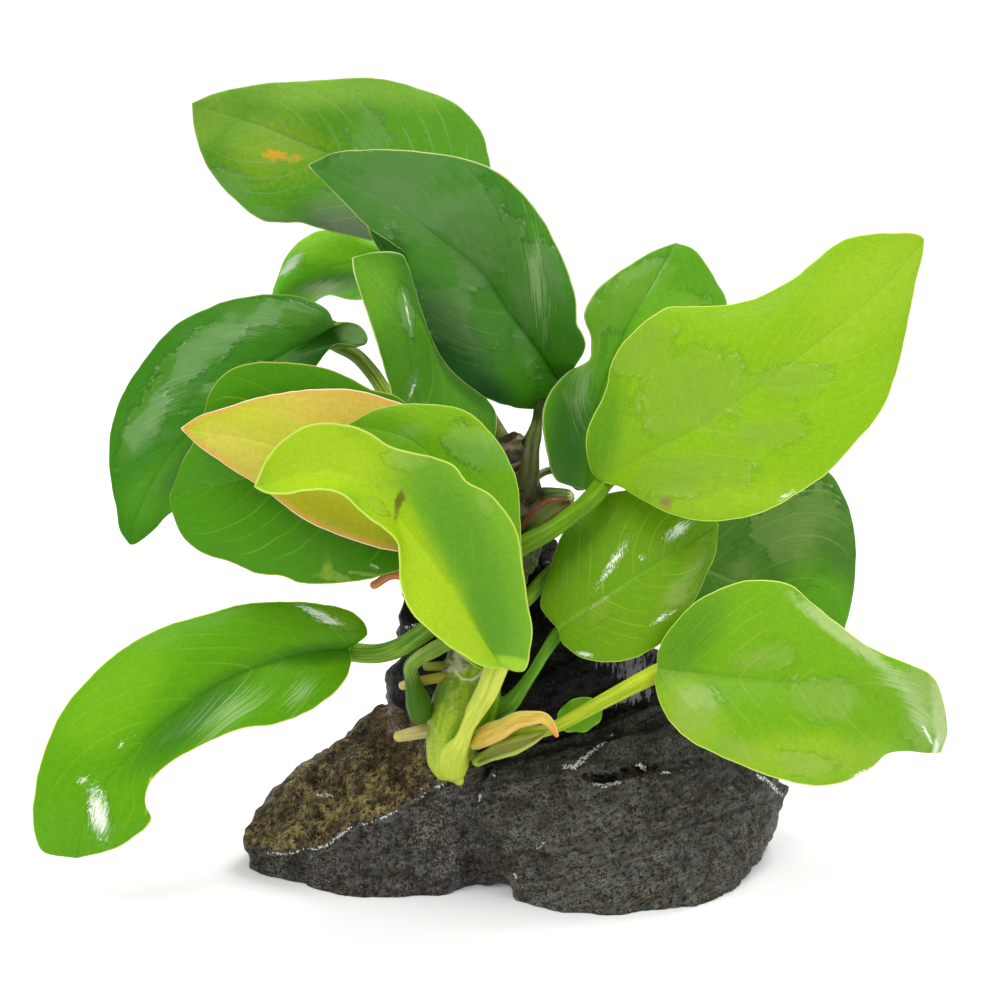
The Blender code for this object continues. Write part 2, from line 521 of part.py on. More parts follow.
def blade_rows(leaf):
    """Rows of points across the blade, from one edge over the midrib to the other edge."""
    steps = np.linalg.norm(np.diff(np.array(leaf["rib"])[:, :2], axis=0), axis=1)
    even = np.linspace(0, 1, min(14, 3 + round(steps.sum() / ROW_LENGTH)))
    fractions = 0.45 * even + 0.55 * (1 - np.cos(np.pi * even)) / 2
    rib = smooth_line(leaf["rib"], fractions)
    base, tip = leaf["rib"][0][:2], leaf["rib"][-1][:2]
    shares = np.array(BLADE_SHARES)
    halves = []
    for side, tilt, crown in zip(("left", "right"), leaf["tilt"], leaf["crown"]):
        edge = smooth_line([base, *leaf[side], tip], fractions)
        reach = np.linalg.norm(edge - rib[:, :2], axis=1)
        back = rib[:, 2] - reach * np.tan(np.radians(ramp(tilt, fractions)))
        edge = np.column_stack([edge, back])
        half = rib[:, None] + (edge - rib)[:, None] * shares[None, :, None]
        half[:, :, 2] -= crown * np.sin(np.pi * fractions)[:, None] * np.sin(np.pi * shares)
        halves.append(half)
    rows = np.concatenate([halves[0][:, ::-1], rib[:, None], halves[1]], axis=1)
    return np.array([[seen(*point) for point in row] for row in rows])


def blade_mesh(leaf, swell=0.0):
    """A closed blade with thin edges and a midrib that stands out on its underside."""
    rows = blade_rows(leaf)
    count = rows.shape[1]
    middle = count // 2
    along = unit(np.gradient(rows, axis=0))
    across = np.gradient(rows, axis=1)
    across[0] = across[1]
    across[-1] = across[-2]
    normals = unit(np.cross(across, along))
    normals = np.where(normals[:, :, 1:2] > 0, -normals, normals)
    normals[0] = unit(normals[1].mean(axis=0))
    normals[-1] = unit(normals[-2].mean(axis=0))
    place = np.abs(np.arange(count) - middle) / middle
    thickness = BLADE_THICKNESS + (BLADE_EDGE_THICKNESS - BLADE_THICKNESS) * place**2
    ridge = MIDRIB_DEPTH * (np.arange(count) == middle)
    taper = np.linspace(1, 0.1, len(rows))
    front = rows + normals * (thickness / 2 + swell)[None, :, None]
    behind = rows - normals * ((thickness / 2 + swell)[None] + taper[:, None] * ridge[None])[:, :, None]
    if swell:
        for layer in (front, behind):
            layer[0] -= along[0] * POINTED_GROWTH * swell
            layer[-1] += along[-1] * POINTED_GROWTH * swell
        sideways = unit(rows[:, [0, -1]] - rows[:, [middle]])
        sideways[0] = sideways[-1] = 0
        for layer in (front, behind):
            layer[:, [0, -1]] += sideways * swell
    points, faces = [], []
    index = np.zeros((2, len(rows), count), int)
    for side, layer in enumerate((front, behind)):
        for r, row in enumerate(layer):
            pole = r in (0, len(rows) - 1)
            for c, point in enumerate(row):
                if pole and c:
                    index[side, r, c] = index[side, r, 0]
                    continue
                index[side, r, c] = len(points)
                points.append(row[middle] if pole else point)
    for side in (0, 1):
        for r in range(len(rows) - 1):
            for c in range(count - 1):
                near, far = index[side, r, c:c + 2], index[side, r + 1, c:c + 2]
                faces.append(list(dict.fromkeys([*near, *far[::-1]])))
    for c in (0, count - 1):
        for r in range(len(rows) - 1):
            faces.append([index[0, r, c], index[1, r, c], index[1, r + 1, c], index[0, r + 1, c]])
    return closed_mesh(points, faces)


def tube_mesh(centres, radii, sides):
    """A closed round tube along the centres, rounded off at both ends."""
    centres = np.asarray(centres)
    along = unit(np.gradient(centres, axis=0))
    side = unit(np.cross(along[0], [0.3, 1, 0.2]))
    points, rings, faces = [], [], []
    for centre, radius, direction in zip(centres, radii, along):
        side = unit(side - direction * np.dot(side, direction))
        up = np.cross(direction, side)
        rings.append(range(len(points), len(points) + sides))
        for k in range(sides):
            turn = 2 * math.pi * k / sides
            points.append(centre + radius * (side * math.cos(turn) + up * math.sin(turn)))
    for low, high in zip(rings, rings[1:]):
        for k in range(sides):
            n = (k + 1) % sides
            faces.append([low[k], low[n], high[n], high[k]])
    for end, direction in ((0, -along[0]), (-1, along[-1])):
        points.append(centres[end] + direction * TUBE_END * radii[end])
        ring = rings[end]
        faces += [[ring[k], ring[(k + 1) % sides], len(points) - 1] for k in range(sides)]
    return closed_mesh(points, faces)


def stalk_mesh(stalk, steps, swell=0.0):
    """A stalk or a root along its path."""
    fractions = np.linspace(0, 1, steps)
    path = smooth_line(stalk["path"], fractions)
    radii = np.interp(fractions, np.linspace(0, 1, len(stalk["radii"])), stalk["radii"])
    return tube_mesh([seen(*point) for point in path], radii + swell, TUBE_SIDES)


def rhizome_mesh(swell=0.0):
    """The creeping stem, with the rings that old leaves have left around it."""
    fractions = np.linspace(0, 1, RHIZOME_STEPS)
    path = smooth_line(RHIZOME, fractions)
    waves = np.sin(fractions * 2 * math.pi * RHIZOME_RINGS) * 4 * fractions * (1 - fractions)
    radii = path[:, 3] * (1 + RING_HEIGHT * waves)
    return tube_mesh([seen(*point[:3]) for point in path], radii + swell, RHIZOME_SIDES)


def hull(points):
    """The convex hull of points in millimetres, as an object."""
    mesh = bpy.data.meshes.new("hull")
    bm = bmesh.new()
    for point in points:
        bm.verts.new(tuple(np.asarray(point) * MM))
    found = bmesh.ops.convex_hull(bm, input=bm.verts)
    spare = found["geom_interior"] + found["geom_unused"]
    spare = {item for item in spare if isinstance(item, bmesh.types.BMVert)}
    bmesh.ops.delete(bm, geom=list(spare), context="VERTS")
    bm.to_mesh(mesh)
    bm.free()
    return link("block", mesh)


def stone_object(look):
    """The stone: blocks grown into one, roughened along its cleavage and cut flat underneath."""
    blocks = []
    for block in STONE_BLOCKS.values():
        corners = [seen(*corner) for corner in block["corners"]]
        corners += [on_floor(*point) * (1, 1, 0) - (0, 0, block["depth"]) for point in block["front"]]
        corners += [(x, back, -block["depth"]) for x, back in block["rear"]]
        blocks.append(hull(corners))
    stone = blocks[0]
    for other in blocks[1:]:
        join = stone.modifiers.new("join", "BOOLEAN")
        join.operation = "UNION"
        join.solver = "EXACT"
        join.object = other
    grain = stone.modifiers.new("grain", "REMESH")
    grain.mode = "VOXEL"
    grain.voxel_size = STONE_VOXEL * MM
    bpy.context.view_layer.update()
    apply_modifiers(stone)
    for other in blocks[1:]:
        bpy.data.objects.remove(other)
    bm = bmesh.new()
    bm.from_mesh(stone.data)
    bm.normal_update()
    moves = [stone_relief(vertex.co / MM, vertex.normal) for vertex in bm.verts]
    for vertex, move in zip(bm.verts, moves):
        vertex.co += vertex.normal * move * MM
    bm.to_mesh(stone.data)
    bm.free()
    thin = stone.modifiers.new("thin", "DECIMATE")
    thin.ratio = STONE_TRIANGLES / (2 * len(stone.data.polygons))
    bpy.context.view_layer.update()
    apply_modifiers(stone)
    bm = bmesh.new()
    bm.from_mesh(stone.data)
    halves = bm.verts[:] + bm.edges[:] + bm.faces[:]
    cut = bmesh.ops.bisect_plane(bm, geom=halves, plane_co=(0, 0, 0), plane_no=(0, 0, 1), clear_inner=True)
    rim = [item for item in cut["geom_cut"] if isinstance(item, bmesh.types.BMEdge)]
    bmesh.ops.holes_fill(bm, edges=rim)
    bmesh.ops.triangulate(bm, faces=bm.faces)
    bmesh.ops.recalc_face_normals(bm, faces=bm.faces)
    bm.to_mesh(stone.data)
    bm.free()
    mesh = stone.data.copy()
    bpy.data.objects.remove(stone)
    return link("stone", mesh, look, smooth=False)


def stone_relief(point, normal):
    """How far the surface of the stone stands out at a point: broad dents and slanting cleavage."""
    broad = noise.noise(Vector(point) * 0.06) * 1.6
    lumps = noise.noise(Vector(point) * 0.19 + Vector((7, 3, 1)))
    slant = point.z * 0.9 - point.x * 0.3 + point.y * 0.15
    cleavage = noise.noise(Vector((slant * 0.42, point.x * 0.03, point.y * 0.03)))
    return STONE_ROUGHNESS * (broad + 0.7 * lumps + 0.8 * cleavage + 0.2)


# ---------------------------------------------------------------- the model

for old in list(bpy.data.objects):
    bpy.data.objects.remove(old)

stone = stone_object(material("wet_stone", STONE_COLOUR, 0.35))
swollen = stone.data.copy()
bm = bmesh.new()
bm.from_mesh(swollen)
bm.normal_update()
places = [vertex.co + vertex.normal * GAP * POINTED_GROWTH * MM for vertex in bm.verts]
for vertex, place in zip(bm.verts, places):
    vertex.co = place
bm.to_mesh(swollen)
bm.free()
cutters = [as_cutter("stone_cutter", swollen)]


def grow(name, make, colour, roughness, own_cutters=()):
    """Add a piece that gives way to every piece that is there already."""
    piece = link(name, make(0.0), material(name, colour, roughness))
    cut_away(piece, [cutter for cutter in [*cutters, *own_cutters] if meet(piece, cutter)])
    cutters.append(as_cutter(name + "_cutter", make(GAP)))


def meet(piece, other):
    """Whether two surfaces cross."""
    trees = []
    for each in (piece, other):
        corners = [vertex.co for vertex in each.data.vertices]
        trees.append(BVHTree.FromPolygons(corners, [face.vertices[:] for face in each.data.polygons]))
    return bool(trees[0].overlap(trees[1]))


grow("rhizome", rhizome_mesh, RHIZOME_COLOUR, 0.35)

for name, leaf in LEAVES.items():
    link("leaf_" + name, blade_mesh(leaf), material("leaf_" + name, LEAF_COLOURS[name], 0.25))
    blade_cutter = as_cutter("blade_cutter", blade_mesh(leaf, GAP))
    colour = PALE_STALK if name in PALE_STALKS else GREEN_STALK
    grow("stalk_" + name, partial(stalk_mesh, STALKS[name], STALK_STEPS), colour, 0.3, [blade_cutter])
    bpy.data.objects.remove(blade_cutter)

for name, loose in LOOSE_STALKS.items():
    grow(name, partial(stalk_mesh, loose, LOOSE_STEPS), LOOSE_COLOURS[name], 0.35)

for name, root in ROOTS.items():
    grow(name, partial(stalk_mesh, root, ROOT_STEPS), ROOT_COLOUR, 0.45)

for cutter in cutters:
    bpy.data.objects.remove(cutter)
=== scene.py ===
# %% [markdown]
# # An anubias on its stone
#
# The imported model gives every leaf, stalk and the stone its size and place. This lesson dresses it:
# it rebuilds each piece with the fine shape of the living plant and gives it a wet, grown surface.
# First the imported model is loaded, and its box is kept, to print it beside the dressed plant's box
# at the end.

# %% Load the imported model
import math

import bmesh
import bpy
import numpy as np
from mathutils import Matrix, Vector, noise


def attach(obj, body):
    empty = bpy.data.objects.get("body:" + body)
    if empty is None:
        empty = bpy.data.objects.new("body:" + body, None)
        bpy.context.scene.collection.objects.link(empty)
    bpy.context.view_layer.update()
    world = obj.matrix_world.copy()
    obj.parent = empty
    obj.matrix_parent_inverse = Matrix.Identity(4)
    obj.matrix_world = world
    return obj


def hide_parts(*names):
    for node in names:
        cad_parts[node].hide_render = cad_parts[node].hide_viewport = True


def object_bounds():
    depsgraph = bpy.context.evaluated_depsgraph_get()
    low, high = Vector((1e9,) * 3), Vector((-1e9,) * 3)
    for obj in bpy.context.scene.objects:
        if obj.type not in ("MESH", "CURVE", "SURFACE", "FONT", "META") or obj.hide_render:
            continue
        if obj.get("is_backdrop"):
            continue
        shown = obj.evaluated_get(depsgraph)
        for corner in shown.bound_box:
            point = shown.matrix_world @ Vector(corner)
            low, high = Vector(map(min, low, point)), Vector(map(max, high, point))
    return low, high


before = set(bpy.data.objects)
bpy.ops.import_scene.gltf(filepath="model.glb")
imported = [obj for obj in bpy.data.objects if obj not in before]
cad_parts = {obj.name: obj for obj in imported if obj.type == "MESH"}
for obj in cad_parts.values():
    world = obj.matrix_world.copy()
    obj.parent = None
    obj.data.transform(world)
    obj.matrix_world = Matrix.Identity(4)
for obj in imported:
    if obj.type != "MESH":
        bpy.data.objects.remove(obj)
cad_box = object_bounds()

print("loaded", len(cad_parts), "nodes")

# %% [markdown]
# ## The sketch
#
# The plant is drawn as a botanist would, on an upright sheet seen from the front and a little from
# above. A drawn point has an x and an up in millimetres on that sheet, and a depth behind it. One
# function turns it into a point in space, and its inverse says where a point in space is drawn.

# %% Sketch space
MM = 0.001
VIEW_ELEVATION = math.radians(15)
VIEW_DISTANCE = 700.0
VIEW_CENTRE_UP = 74.0
SINE, COSINE = math.sin(VIEW_ELEVATION), math.cos(VIEW_ELEVATION)
EYE_Y = VIEW_CENTRE_UP * SINE - VIEW_DISTANCE * COSINE
EYE_Z = VIEW_CENTRE_UP * COSINE + VIEW_DISTANCE * SINE
EYE = np.array([0, EYE_Y, EYE_Z])


def seen(x, up, back):
    """The point in millimetres that is drawn at (x, up) and lies at depth back."""
    x, up, back = np.broadcast_arrays(x, up, back)
    reach = (back - EYE_Y) / (up * SINE - EYE_Y)
    return np.stack([x * reach, back, EYE_Z + (up * COSINE - EYE_Z) * reach], axis=-1)


def drawn(points):
    """Where points in space are drawn: their (x, up) on the sheet."""
    away = points - EYE
    reach = (away[..., 1] * COSINE - away[..., 2] * SINE) / VIEW_DISTANCE
    sheet = EYE + away / reach[..., None]
    return np.stack([sheet[..., 0], sheet[..., 1] * SINE + sheet[..., 2] * COSINE], axis=-1)


def on_floor(x, up):
    """The point on the floor that is drawn at (x, up)."""
    near, far = seen(x, up, -80.0), seen(x, up, 80.0)
    return near + (far - near) * near[2] / (near[2] - far[2])


print("a point at depth 30 drawn at (10, 50) is drawn back at", drawn(seen(10, 50, 30)).round(3))

# %% [markdown]
# ## Camera, floor and light
#
# The photographer stood about 70 cm away with a long lens and looked down by 15 degrees. A long lens
# keeps near and far leaves at nearly the same scale. The plant stands on a light table, a white sheet
# that glows a little, so its shadow stays faint. One broad softbox hangs above the front left, a
# second one stands behind at the right and throws the faint shadow forward, and a weak one fills the
# right. The room around is white, but what mirrors in wet skin is mostly dark, as with black flags
# beside the camera, so wet leaves keep their deep green.

# %% Camera
LENS = 126
FILM_WIDTH = 36
NEAREST = 10.0
camera_data = bpy.data.cameras.new("camera")
camera_data.lens = LENS
camera_data.sensor_width = FILM_WIDTH
camera_data.clip_start = NEAREST * MM
camera = bpy.data.objects.new("camera", camera_data)
camera.location = Vector(EYE) * MM
camera.rotation_euler = (math.pi / 2 - VIEW_ELEVATION, 0, 0)
bpy.context.scene.collection.objects.link(camera)
bpy.context.scene.camera = camera
bpy.context.scene.view_settings.view_transform = "Standard"

# %% Floor
FLOOR_SIZE = 1.0
FLOOR_GLOW = 0.1
FLOOR_GREY = 0.8
FLOOR_ROUGHNESS = 0.9
FLOOR_GAP = 0.1
floor_mesh = bpy.data.meshes.new("floor")
half = FLOOR_SIZE / 2
corners = [(-half, -half, 0), (half, -half, 0), (half, half, 0), (-half, half, 0)]
floor_mesh.from_pydata(corners, [], [(0, 1, 2, 3)])
floor = bpy.data.objects.new("floor", floor_mesh)
floor.location.z = -FLOOR_GAP * MM
floor_look = bpy.data.materials.new("light_table")
floor_look.use_nodes = True
floor_shader = floor_look.node_tree.nodes["Principled BSDF"]
for socket, value in {
    "Base Color": (FLOOR_GREY, FLOOR_GREY, FLOOR_GREY, 1), "Roughness": FLOOR_ROUGHNESS,
    "Emission Color": (1, 1, 1, 1), "Emission Strength": FLOOR_GLOW, "Specular IOR Level": 0.0,
}.items():
    floor_shader.inputs[socket].default_value = value
floor_mesh.materials.append(floor_look)
bpy.context.scene.collection.objects.link(floor)
floor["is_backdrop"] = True

# %% Light
ROOM_LIGHT = 0.76
ROOM_GLOSS = 0.3
BACKDROP = 1.1
LAMP_TARGET = Vector((0, 0, 0.07))
world = bpy.data.worlds.new("white_studio")
bpy.context.scene.world = world
world.use_nodes = True
nodes, links = world.node_tree.nodes, world.node_tree.links
ray = nodes.new("ShaderNodeLightPath")
mirrored = nodes.new("ShaderNodeMapRange")
mirrored.inputs["To Min"].default_value = ROOM_LIGHT
mirrored.inputs["To Max"].default_value = ROOM_GLOSS
shown = nodes.new("ShaderNodeMapRange")
shown.inputs["To Max"].default_value = BACKDROP
links.new(ray.outputs["Is Glossy Ray"], mirrored.inputs["Value"])
links.new(ray.outputs["Is Camera Ray"], shown.inputs["Value"])
links.new(mirrored.outputs["Result"], shown.inputs["To Min"])
links.new(shown.outputs["Result"], nodes["Background"].inputs["Strength"])
nodes["Background"].inputs["Color"].default_value = (1, 1, 1, 1)


def softbox(name, place, size, power):
    """A square lamp that faces the plant."""
    data = bpy.data.lights.new(name, "AREA")
    data.size = size
    data.energy = power
    lamp = bpy.data.objects.new(name, data)
    lamp.location = place
    lamp.rotation_euler = (LAMP_TARGET - Vector(place)).to_track_quat("-Z", "Y").to_euler()
    bpy.context.scene.collection.objects.link(lamp)


softbox("key", (-1.0, -0.9, 2.5), 1.6, 41)
softbox("back", (1.0, 1.6, 1.9), 1.0, 43)
softbox("fill", (1.8, -1.0, 1.4), 1.2, 11)
print("floor, camera and", len(bpy.data.lights), "softboxes")


# %% [markdown]
# ## Tools for lines
#
# Midribs, edges and stalks are drawn with few points. A smooth curve through those points gives as
# many as a mesh needs. The curve passes through every drawn point, so the drawing keeps its shape.

# %% Smooth lines
CURVE_STEPS = 32


def smooth_line(points, fractions):
    """Points at these fractions of the length of a smooth curve through the given points."""
    p = np.asarray(points, float)
    padded = np.vstack([2 * p[0] - p[1], p, 2 * p[-1] - p[-2]])
    dense = []
    for a, b, c, d in zip(padded, padded[1:], padded[2:], padded[3:]):
        for t in np.linspace(0, 1, CURVE_STEPS, endpoint=False):
            bend = 2 * a - 5 * b + 4 * c - d
            dense.append(b + 0.5 * ((c - a) * t + bend * t**2 + (3 * b - a - 3 * c + d) * t**3))
    dense = np.array(dense + [p[-1]])
    steps = np.linalg.norm(np.diff(dense, axis=0), axis=1)
    along = np.concatenate([[0], np.cumsum(steps)]) / steps.sum()
    return np.stack([np.interp(fractions, along, dense[:, k]) for k in range(p.shape[1])], axis=1)


def length(line):
    """The length of a line through points."""
    return np.linalg.norm(np.diff(np.asarray(line), axis=0), axis=1).sum()


def ramp(amounts, fractions):
    """A value that passes smoothly through its amounts at the base, the middle and the tip."""
    base, middle, tip = amounts
    f = np.asarray(fractions)
    return base * (1 - f) * (1 - 2 * f) + middle * 4 * f * (1 - f) + tip * f * (2 * f - 1)


def unit(vectors):
    """The same directions with a length of one."""
    return vectors / np.maximum(np.linalg.norm(vectors, axis=-1, keepdims=True), 1e-9)


def wander(points, size, seed=0.0):
    """Smooth random values between about -1 and 1, which change over size millimetres."""
    shift = Vector((seed, 3.1 * seed, 7.7 * seed))
    flat = np.asarray(points).reshape(-1, 3) / size
    values = [noise.noise(Vector(p) + shift) for p in flat]
    return np.array(values).reshape(np.asarray(points).shape[:-1])


def rise(value, width):
    """0 where a value is below zero, 1 from width on, and straight between."""
    return np.clip(value / width, 0, 1)


def patches(at, blobs):
    """How deep each drawn point lies inside the nearest of some ovals, from 0 outside to 1 in the middle.

    Each oval is (x, up, half its length, half its width, turn in degrees).
    """
    depth = np.zeros(at.shape[:-1])
    for x, up, half_length, half_width, turn in blobs:
        c, s = math.cos(math.radians(turn)), math.sin(math.radians(turn))
        dx, dy = at[..., 0] - x, at[..., 1] - up
        reach = np.hypot((dx * c + dy * s) / half_length, (dy * c - dx * s) / half_width)
        depth = np.maximum(depth, np.clip(1 - reach / 2, 0, 1))
    return depth


def line_reach(at, line, width):
    """How near points are to a line on the sheet: 1 on it, 0 from width millimetres away."""
    nearest = np.full(at.shape[:-1], 1e9)
    for start, end in zip(line, line[1:]):
        start, end = np.array(start, float), np.array(end, float)
        span = end - start
        share = np.clip(((at - start) @ span) / (span @ span), 0, 1)
        nearest = np.minimum(nearest, np.linalg.norm(at - start - share[..., None] * span, axis=-1))
    return np.clip(1 - nearest / width, 0, 1)


# %% [markdown]
# ## Tools for meshes
#
# Every piece is one closed skin. `build` makes the object, hangs it on the root body, hides the
# imported nodes that it stands for, and keeps numbers on its points that the finish reads later, such
# as the distance to the edge of a leaf.

# %% Build a piece
def build(name, points, faces, numbers, replaced):
    """A smooth closed piece in metres from points in millimetres."""
    mesh = bpy.data.meshes.new(name)
    mesh.from_pydata((np.asarray(points) * MM).tolist(), [], faces)
    for label, values in numbers.items():
        values = np.asarray(values, np.float32)
        kind = "FLOAT_VECTOR" if values.ndim == 2 else "FLOAT"
        stored = mesh.attributes.new(label, kind, "POINT")
        stored.data.foreach_set("vector" if values.ndim == 2 else "value", values.ravel())
    bm = bmesh.new()
    bm.from_mesh(mesh)
    bmesh.ops.recalc_face_normals(bm, faces=bm.faces)
    if bm.calc_volume(signed=True) < 0:
        bmesh.ops.reverse_faces(bm, faces=bm.faces)
    bm.to_mesh(mesh)
    bm.free()
    mesh.polygons.foreach_set("use_smooth", [True] * len(mesh.polygons))
    piece = bpy.data.objects.new(name, mesh)
    bpy.context.scene.collection.objects.link(piece)
    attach(piece, "root")
    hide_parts(*replaced)
    return piece


# %% [markdown]
# ## Tools for finishes
#
# A finish is a small network of nodes that ends in one Principled shader. This class keeps the
# network readable: each method adds one node, or a few that belong together, and returns the output.
# Colours are written the way a paint box shows them, from 0 to 255, and `paint` turns them into light.

# %% Finish
def paint(red, green, blue):
    """A colour from its 0 to 255 values on a screen, as the light that Blender mixes."""
    parts = np.array([red, green, blue]) / 255
    linear = np.where(parts <= 0.04045, parts / 12.92, ((parts + 0.055) / 1.055) ** 2.4)
    return (*linear.tolist(), 1.0)


class Finish:
    """A material under construction."""

    def __init__(self, name, roughness, specular, coat_roughness=0.06):
        self.material = bpy.data.materials.new(name)
        self.material.use_nodes = True
        self.tree = self.material.node_tree
        self.shader = self.tree.nodes["Principled BSDF"]
        self.shader.inputs["Roughness"].default_value = roughness
        self.shader.inputs["Specular IOR Level"].default_value = specular
        self.shader.inputs["Coat Roughness"].default_value = coat_roughness
        self.place = self.tree.nodes.new("ShaderNodeTexCoord").outputs["Object"]

    def feed(self, socket, value):
        """Give a socket a number, a colour or another node's output."""
        if isinstance(value, bpy.types.NodeSocket):
            self.tree.links.new(value, socket)
        else:
            socket.default_value = value

    def set(self, socket, value):
        """Drive one socket of the shader."""
        self.feed(self.shader.inputs[socket], value)

    def read(self, label, vector=False):
        """A number that the mesh keeps on its points."""
        node = self.tree.nodes.new("ShaderNodeAttribute")
        node.attribute_name = label
        return node.outputs["Vector" if vector else "Fac"]

    def maths(self, operation, a, b=0.0, clamp=False):
        """One sum of two numbers."""
        node = self.tree.nodes.new("ShaderNodeMath")
        node.operation = operation
        node.use_clamp = clamp
        self.feed(node.inputs[0], a)
        self.feed(node.inputs[1], b)
        return node.outputs[0]

    def add(self, a, b):
        """Two numbers added."""
        return self.maths("ADD", a, b)

    def times(self, a, b):
        """Two numbers multiplied."""
        return self.maths("MULTIPLY", a, b)

    def swing(self, noise_value, amount):
        """Noise between 0 and 1, turned into a swing of half the amount to either side of 0."""
        return self.times(self.maths("SUBTRACT", noise_value, 0.5), amount)

    def fray(self, value, noise_value, amount):
        """A value made uneven by noise, so that a step in it gets a ragged edge."""
        return self.add(value, self.swing(noise_value, amount))

    def step(self, value, low, high, start=0.0, end=1.0):
        """A smooth step from start to end while the value goes from low to high."""
        node = self.tree.nodes.new("ShaderNodeMapRange")
        node.interpolation_type = "SMOOTHSTEP"
        for socket, amount in zip(node.inputs, (value, low, high, start, end)):
            self.feed(socket, amount)
        return node.outputs["Result"]

    def mix(self, share, a, b, blend="MIX"):
        """Two colours mixed."""
        node = self.tree.nodes.new("ShaderNodeMix")
        node.data_type = "RGBA"
        node.blend_type = blend
        self.feed(node.inputs["Factor"], share)
        self.feed(node.inputs[6], a)
        self.feed(node.inputs[7], b)
        return node.outputs[2]

    def tint(self, colour, other, value, low, high, start=0.0, end=1.0):
        """A colour that passes into another one while the value goes from low to high."""
        return self.mix(self.step(value, low, high, start, end), colour, other)

    def shaded(self, colour, amount):
        """A colour multiplied by an amount."""
        return self.mix(1.0, colour, amount, "MULTIPLY")

    def stretch(self, scale, place=None):
        """Coordinates multiplied along their three axes."""
        node = self.tree.nodes.new("ShaderNodeVectorMath")
        node.operation = "MULTIPLY"
        self.feed(node.inputs[0], self.place if place is None else place)
        node.inputs[1].default_value = scale
        return node.outputs[0]

    def cloud(self, scale, detail=2.0, place=None, roughness=0.5, distortion=0.0):
        """Soft noise from 0 to 1. The scale is in bumps a metre, unless the place is in other units."""
        node = self.tree.nodes.new("ShaderNodeTexNoise")
        node.inputs["Scale"].default_value = scale
        node.inputs["Detail"].default_value = detail
        node.inputs["Roughness"].default_value = roughness
        node.inputs["Distortion"].default_value = distortion
        self.feed(node.inputs["Vector"], self.place if place is None else place)
        return node.outputs["Fac"]

    def relief(self, height, depth, before=None):
        """Bumps of this depth in metres, on top of earlier ones."""
        node = self.tree.nodes.new("ShaderNodeBump")
        node.inputs["Distance"].default_value = depth
        self.feed(node.inputs["Height"], height)
        if before is not None:
            self.feed(node.inputs["Normal"], before)
        return node.outputs["Normal"]


print("paint box green", [round(c, 3) for c in paint(98, 165, 20)[:3]])

# %% [markdown]
# ## The shape of a leaf
#
# A blade is a grid. Its rows run from one edge over the midrib to the other edge, and its columns run
# from the base to the tip. Each half may lean towards the viewer (`tilt`) and bulge (`crown`). Columns
# crowd together at the midrib and at the edge, because that is where the fine shape lies.

# %% Leaf grid
BLADE_ROWS = 104
EVEN_SPACING = 0.45
HALF_COLUMNS = 23
CROWDING = 0.85
SIDE_VEINS = 11
VEIN_SWEEP = 0.42
EDGE_UNEVENNESS = 0.35
EVENED = 4


def blade_grid(leaf):
    """The middle surface of a blade, and where each of its points lies on the leaf."""
    even = np.linspace(0, 1, BLADE_ROWS)
    u = EVEN_SPACING * even + (1 - EVEN_SPACING) * (1 - np.cos(np.pi * even)) / 2
    rib = smooth_line(leaf["rib"], u)
    base, tip = leaf["rib"][0][:2], leaf["rib"][-1][:2]
    plain = np.linspace(0, 1, HALF_COLUMNS + 1)[1:]
    shares = plain - CROWDING * np.sin(2 * np.pi * plain) / (2 * np.pi)
    sheets, reaches = [], []
    for side, tilt, crown in zip(("left", "right"), leaf["tilt"], leaf["crown"]):
        edge = smooth_line([base, *leaf[side], tip], u)
        reach = np.linalg.norm(edge - rib[:, :2], axis=1)
        nibbled = EDGE_UNEVENNESS * (0.5 + 0.5 * wander(np.column_stack([edge, 0 * u]), 2.4, crown))
        edge -= unit(edge - rib[:, :2]) * (nibbled * np.minimum(1, reach / 6))[:, None]
        reach = np.linalg.norm(edge - rib[:, :2], axis=1)
        back = rib[:, 2] - reach * np.tan(np.radians(ramp(tilt, u)))
        edge = np.column_stack([edge, back])
        sheet = rib[:, None] + (edge - rib)[:, None] * shares[None, :, None]
        bow = 1 + leaf.get("bow", 0.0) * np.clip(3 * u - 1.5, 0, 1)[:, None]
        sheet[:, :, 2] = rib[:, None, 2] + (edge - rib)[:, None, 2] * shares**bow
        sheet[:, :, 2] -= crown * np.sin(np.pi * u)[:, None] * np.sin(np.pi * shares)
        sheets.append(sheet)
        reaches.append(np.repeat(reach[:, None], HALF_COLUMNS, axis=1))
    sheet = np.concatenate([sheets[0][:, ::-1], rib[:, None], sheets[1]], axis=1)
    middle = np.mean([reaches[0][:, :1], reaches[1][:, :1]], axis=0)
    grid = {"reach": np.concatenate([reaches[0][:, ::-1], middle, reaches[1]], axis=1)}
    grid["v"] = np.concatenate([-shares[::-1], [0], shares])[None].repeat(BLADE_ROWS, axis=0)
    grid["u"] = u[:, None].repeat(sheet.shape[1], axis=1)
    grid["sheet"] = sheet[:, :, :2]
    grid["points"] = seen(sheet[..., 0], sheet[..., 1], sheet[..., 2])
    grid["length"] = length(rib)
    return grid


def blade_normals(points):
    """The direction out of the front of the blade at every grid point.

    It is evened out over EVENED columns each way, because the skin would fold over itself at a
    sharp crease.
    """
    along = unit(np.gradient(points, axis=0))
    across = np.gradient(points, axis=1)
    across[0] = across[1]
    across[-1] = across[-2]
    normals = unit(np.cross(across, along))
    wide = np.pad(normals, ((0, 0), (EVENED, EVENED), (0, 0)), mode="edge")
    normals = unit(sum(wide[:, k : k + normals.shape[1]] for k in range(2 * EVENED + 1)))
    middle = normals[len(normals) // 2, normals.shape[1] // 2]
    if middle[1] > 0:
        normals = -normals
    normals[0] = unit(normals[2].mean(axis=0))
    normals[1] = unit(normals[0] + normals[1])
    normals[-1] = unit(normals[-3].mean(axis=0))
    normals[-2] = unit(normals[-1] + normals[-2])
    return normals


